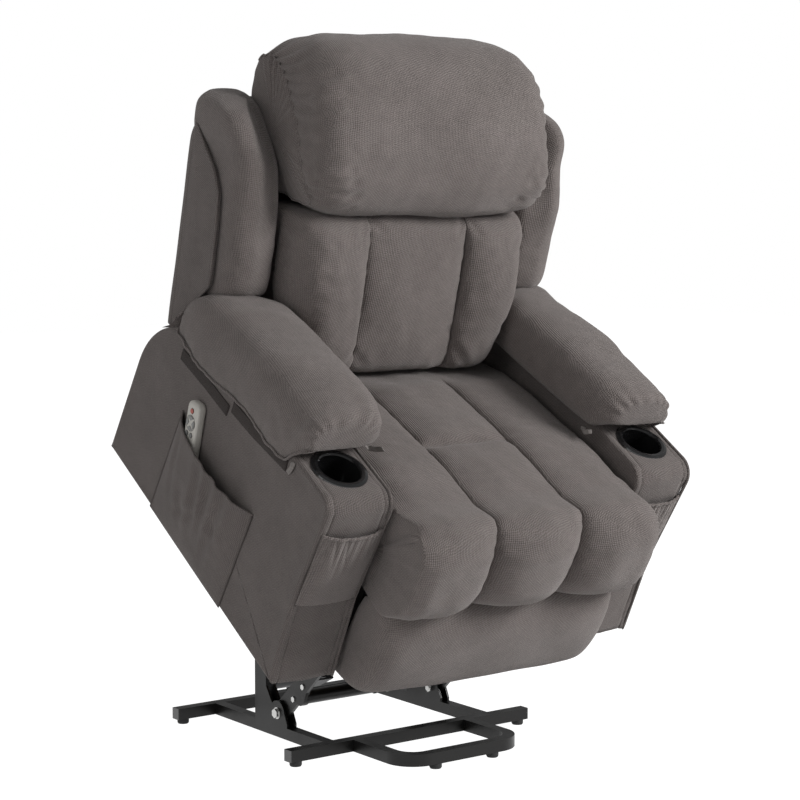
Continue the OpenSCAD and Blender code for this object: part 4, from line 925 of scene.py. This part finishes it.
def arm_pad(sign):
    """Pillow tied on the arm: plump, gathered at its ends, with a piped flap over the outer side."""
    mid, half = (PAD_Y0 + PAD_Y1) / 2, (PAD_Y1 - PAD_Y0) / 2
    ys = mid + half * np.sin(np.radians(np.linspace(-90, 90, 61)))
    g = np.array([pad_ring(y) for y in ys])
    n = facing(g, (30, 18), 2, 1)
    upper = np.zeros(g.shape[1])
    upper[5:-1] = 1
    v = np.linspace(0, 1, g.shape[1])[None, :]
    front, rear = g[..., 1] - PAD_Y0, PAD_Y1 - g[..., 1]
    run = 62 * v + 1.5 * np.sin(9 * v + sign)
    move = 4.4 * np.exp(-front / (26 + 14 * np.sin(17 * v))) * np.sin(run) * smooth(front / 3)
    move += 2.4 * np.exp(-rear / 26) * np.sin(run * 0.9 + 1)
    low = np.exp(-(g.shape[1] - 2 - np.arange(g.shape[1]))[None, :].clip(0) / 2.2)
    move += 1.8 * low * np.sin(g[..., 1] / 5.6 + 2 * np.sin(g[..., 1] / 60))
    move += 2.4 * waves(g, 120, 70 + sign) + 0.9 * waves(g, 45, 72 + sign)
    for a, b, w, d in (((470, -300, 500), (440, -250, 560), 8, 4), ((440, -306, 520), (425, -250, 580), 8, 3.5),
                       ((360, -308, 520), (350, -262, 580), 8, 4), ((478, -255, 470), (470, -190, 520), 9, 4),
                       ((315, -300, 520), (310, -255, 570), 8, 3.5), ((478, -130, 440), (470, -60, 480), 10, 3),
                       ((476, 120, 420), (455, 80, 480), 9, 3.5), ((300, -120, 520), (310, -50, 560), 10, 3)):
        move += crease(g, a, b, w, d)
    g = g + n * (move * upper[None, :])[..., None]
    g[..., 2] = np.where(g[..., 0] < ARM_OUT, np.maximum(g[..., 2], arm_top(g[..., 1]) + 0.3), g[..., 2])
    s = Shape()
    s.grid(g * [sign, 1, 1], wrap_v=True, cap=True)
    edge = g[:, -2] * [sign, 1, 1] + [sign * 0.5, 0, -1.0]
    s.tube(edge[2:-2], 2.9)
    side = side_name(sign)
    piece("arm_pad_cover_" + side, s, "seat", "cushion_fabric", "chassis", ["arm_pad_" + side])


def pad_ties(sign):
    """Dark strip under the pad's flap, a painted shadow of the flap on the arm's side, and the short loops that tie its
    front corners.
    """
    side = side_name(sign)
    s = Shape()
    # painted shadow: two dark strips along the arm's outer side, where the pad's flap shades it
    for line in ([(150, 398), (46, 404), (-53, 406)], [(-63, 424), (-150, 430), (-277, 446)]):
        p = resample(np.array(line, float), 8)
        s.tube(at_x(sign * (ARM_OUT + 0.9), p), (13, 0.8, (0, 0.05, 1)))
    piece("pad_flap_shadow_" + side, s, "seat", "painted_flap_shadow", "chassis", subdiv=0)
    s = Shape()
    for pts in ([(466.2, -286, 436), (469, -292, 446), (471, -297, 458), (468, -294, 468)],
                [(285, -262, 470), (278, -268, 466), (268, -282, 473), (266, -296, 484), (271, -300, 488)]):
        p = np.array(pts, float)
        s.tube(resample(p, 3) * [sign, 1, 1], (5.5, 0.9, (0.2 * sign, 1, 0.25)))
    piece("pad_loops_" + side, s, "seat", "loop_tape", "chassis")


# ------------------------------------------------------------------ pockets


def side_pocket(sign):
    """Flat pocket on the outer side, slack between its side seams, with a bound top edge."""
    w, h, y0, z0 = 322, 242, -236, 46
    us = w * (0.5 - 0.5 * np.cos(np.pi * np.linspace(0, 1, 49)))
    ks = np.linspace(0, 1, 31) ** 1.15
    U, K = np.meshgrid(us, ks, indexing="ij")
    q = 2 * U / w - 1
    top = h + 12 * (U / w) - 10 * (1 - q ** 2)
    V = K * top
    bow = 33 * (1 - q ** 4) * K ** 0.55
    for a, b, wd, d in (((70, 240), (96, 40), 12, 6), ((120, 235), (128, 60), 13, 7), ((172, 230), (150, 50), 12, 6),
                        ((216, 140), (200, 60), 12, 4.5), ((276, 240), (262, 100), 11, 3),
                        ((150, 120), (230, 70), 12, 3.5), ((100, 160), (60, 110), 10, 3)):
        bow = bow + 1.6 * crease(np.stack([U, V], -1), a, b, wd, d) * (1 - q ** 8) * K ** 0.35
    bow = np.maximum(bow, 1.8)
    g = np.stack([sign * (ARM_OUT + bow), y0 + U, z0 + V], -1)
    s = Shape()
    s.sheet(g if sign > 0 else g[::-1], 1.6)
    s.tube(g[:, -1] + [sign * -0.6, 0, 0.5], 2.6)
    side = side_name(sign)
    obj = piece("side_pocket_cloth_" + side, s, "seat", "side_fabric", "chassis", ["side_pocket_" + side])
    seam = Shape()
    for u in (1.5, w - 1.5):
        line = np.array([[y0 + u, z0 + 3], [y0 + u, z0 + h - 2 + 12 * u / w]])
        seam.tube(resample(at_x(sign * (ARM_OUT + 1.4), line), 12), 2.0)
    piece("side_pocket_seams_" + side, seam, "seat", "piping_fabric", "chassis", subdiv=0)


def front_pocket(sign):
    """Small elasticated pocket across the front of the arm, gathered under its top edge."""
    w, h, x0, z0, yf = 138, 174, 321, 229, -433
    us = w * (0.5 - 0.5 * np.cos(np.pi * np.linspace(0, 1, 61)))
    ks = np.linspace(0, 1, 33)
    U, K = np.meshgrid(us, ks, indexing="ij")
    q = 2 * U / w - 1
    V = K * (h - 4 * (1 - q ** 2))
    bow = 20 * (1 - q ** 4) * np.sin(math.pi * (0.08 + 0.62 * K)) ** 0.7
    rng = np.random.RandomState(90 + sign)
    folds = np.zeros_like(bow)
    for i in range(11):
        c = w * (i + 0.5 + rng.uniform(-0.25, 0.25)) / 11
        lean = rng.uniform(-0.28, 0.28)
        depth = rng.uniform(0.45, 1.0)
        centre = c + lean * (1 - K) * h * 0.6
        reach = 1 - smooth((1 - K) / depth)
        fade = np.sin(math.pi * clamp(0.12 + (1 - K) * 1.4)) ** 0.5
        folds += -5.2 * np.exp(-((U - centre) / 4.0) ** 2) * reach * fade
    bow = np.maximum(1.6, bow + folds * (1 - q ** 6) + 0.8 * waves(np.stack([U, V, 0 * U], -1), 45, 95 + sign))
    g = np.stack([sign * (x0 + U), yf - bow, z0 + V], -1)
    s = Shape()
    s.sheet(g if sign < 0 else g[::-1], 1.6)
    side = side_name(sign)
    rim = g[:, -1] + [0, -0.6, 0]
    s.tube(rim, 3.6)
    obj = piece("front_pocket_cloth_" + side, s, "seat", "cushion_fabric", "chassis", ["front_pocket_" + side])
    seam = Shape()
    line = resample(np.array([[sign * x0, yf - 1.5, z0], [sign * (x0 + w), yf - 1.5, z0]], float), 10)
    seam.tube(line, 2.4)
    piece("front_pocket_seam_" + side, seam, "seat", "piping_fabric", "chassis", subdiv=0)


# ------------------------------------------------------------------ handset


def handset():
    """Off-white moulded handset with a rounded shell and a dished key ring."""
    w, l, t = 44, 165, 21
    tilt = math.radians(-15.5)

    def place(q, h):
        p = turn_x(np.stack([0 * h, q[:, 0], q[:, 1]], -1), tilt)
        return np.stack([-(465.4 + h), p[:, 1] - 10, p[:, 2] + 205], -1)

    path = np.concatenate([arc((8, 14), 14, -90, 0, 7), arc((7, l - 15), 15, 0, 90, 8),
                           arc((-7, l - 15), 15, 90, 180, 8), arc((-8, 14), 14, 180, 270, 7)])
    path = resample(np.concatenate([path, path[:1]]), 6)[:-1]
    s = Shape()
    slab(s, path, 0.0, t, place, r=6.5, centre=(0, l / 2), rows=6)
    piece("handset_shell", s, "seat", "handset_shell", "remote", ["handset"])
    ring = Shape()
    a = np.linspace(0, 2 * math.pi, 41)[:-1]
    for c, r in (((0, l - 46), 16.3), ((0, l - 20), 5.8), ((-8, l - 70), 5.3), ((8, l - 70), 5.3)):
        q = np.stack([c[0] + r * np.cos(a), c[1] + r * np.sin(a)], -1)
        ring.tube(place(q, np.full(len(q), t - 0.1)), 0.55, closed=True, n=6)
    piece("handset_key_rims", ring, "seat", "dark_gap", "remote", subdiv=0)


seat_cover()
legrest_panel()
back_cushion()
head_pillow()
back_shell()
for hand in (-1, 1):
    wing(hand)
    arm(hand)
    arm_pad(hand)
    pad_ties(hand)
    side_pocket(hand)
    front_pocket(hand)
handset()

# ------------------------------------------------------------------ floor, light and camera


WORLD = 0.25


def stage():
    """White floor and world as the camera sees them, at a plain level for the light they give."""
    n = Nodes("floor_white")
    tree, out = n.tree, n.tree.nodes["Material Output"]
    path = n.add("ShaderNodeLightPath")
    seen = n.math("MAXIMUM", n.math("MAXIMUM", path.outputs["Is Camera Ray"], path.outputs["Is Glossy Ray"]),
                  path.outputs["Is Transmission Ray"])
    matte = n.add("ShaderNodeBsdfDiffuse")
    matte.inputs["Color"].default_value = (0.85, 0.85, 0.85, 1)
    glow = n.add("ShaderNodeEmission")
    glow.inputs["Color"].default_value = (1, 1, 1, 1)
    glow.inputs["Strength"].default_value = 1.3
    both = n.add("ShaderNodeMixShader")
    n.link(n.math("MULTIPLY", seen, 0.8), both.inputs[0])
    n.link(matte.outputs[0], both.inputs[1])
    n.link(glow.outputs[0], both.inputs[2])
    n.link(both.outputs[0], out.inputs["Surface"])
    mesh = bpy.data.meshes.new("floor")
    r = 14.0
    mesh.from_pydata([(-r, -r, 0), (r, -r, 0), (r, r, 0), (-r, r, 0)], [], [(0, 1, 2, 3)])
    mesh.materials.append(MATERIALS["floor_white"])
    floor = bpy.data.objects.new("floor", mesh)
    bpy.context.scene.collection.objects.link(floor)

    world = bpy.data.worlds.new("studio")
    bpy.context.scene.world = world
    world.use_nodes = True
    nodes, link = world.node_tree.nodes, world.node_tree.links.new
    ray, seen, mix = (nodes.new("ShaderNode" + kind) for kind in ("LightPath", "Math", "MixShader"))
    seen.operation = "MAXIMUM"
    link(ray.outputs["Is Camera Ray"], seen.inputs[0])
    link(ray.outputs["Is Transmission Ray"], seen.inputs[1])
    link(seen.outputs[0], mix.inputs[0])
    for i, (node, level) in enumerate(((nodes["Background"], WORLD), (nodes.new("ShaderNodeBackground"), 1.0))):
        node.inputs["Color"].default_value = (1, 1, 1, 1)
        node.inputs["Strength"].default_value = level
        link(node.outputs[0], mix.inputs[i + 1])
    link(mix.outputs[0], nodes["World Output"].inputs["Surface"])


def lamp(name, at, to, size, power):
    """Soft square lamp, aimed at a place."""
    light = bpy.data.lights.new(name, "AREA")
    light.shape, light.size, light.energy = "SQUARE", size, power
    obj = bpy.data.objects.new(name, light)
    bpy.context.scene.collection.objects.link(obj)
    obj.location = at
    obj.rotation_euler = (Vector(to) - Vector(at)).to_track_quat("-Z", "Y").to_euler()


stage()
lamp("key", (3.3, -3.9, 3.0), (0, 0, 0.8), 2.0, 288)
lamp("fill", (-4.2, -0.9, 2.0), (0, 0, 0.7), 3.0, 40)
lamp("top", (0.2, 1.2, 4.2), (0, 0, 0.8), 3.0, 10)

camera = bpy.data.cameras.new("camera")
camera.lens, camera.sensor_width = 94.5, 36
eye = bpy.data.objects.new("camera", camera)
bpy.context.scene.collection.objects.link(eye)
eye.location = (-2.65583, -3.54868, 1.14552)
eye.rotation_euler = (math.radians(90 - 5.214), 0, -math.radians(36.588))
bpy.context.scene.camera = eye
bpy.context.scene.view_settings.view_transform = "Standard"
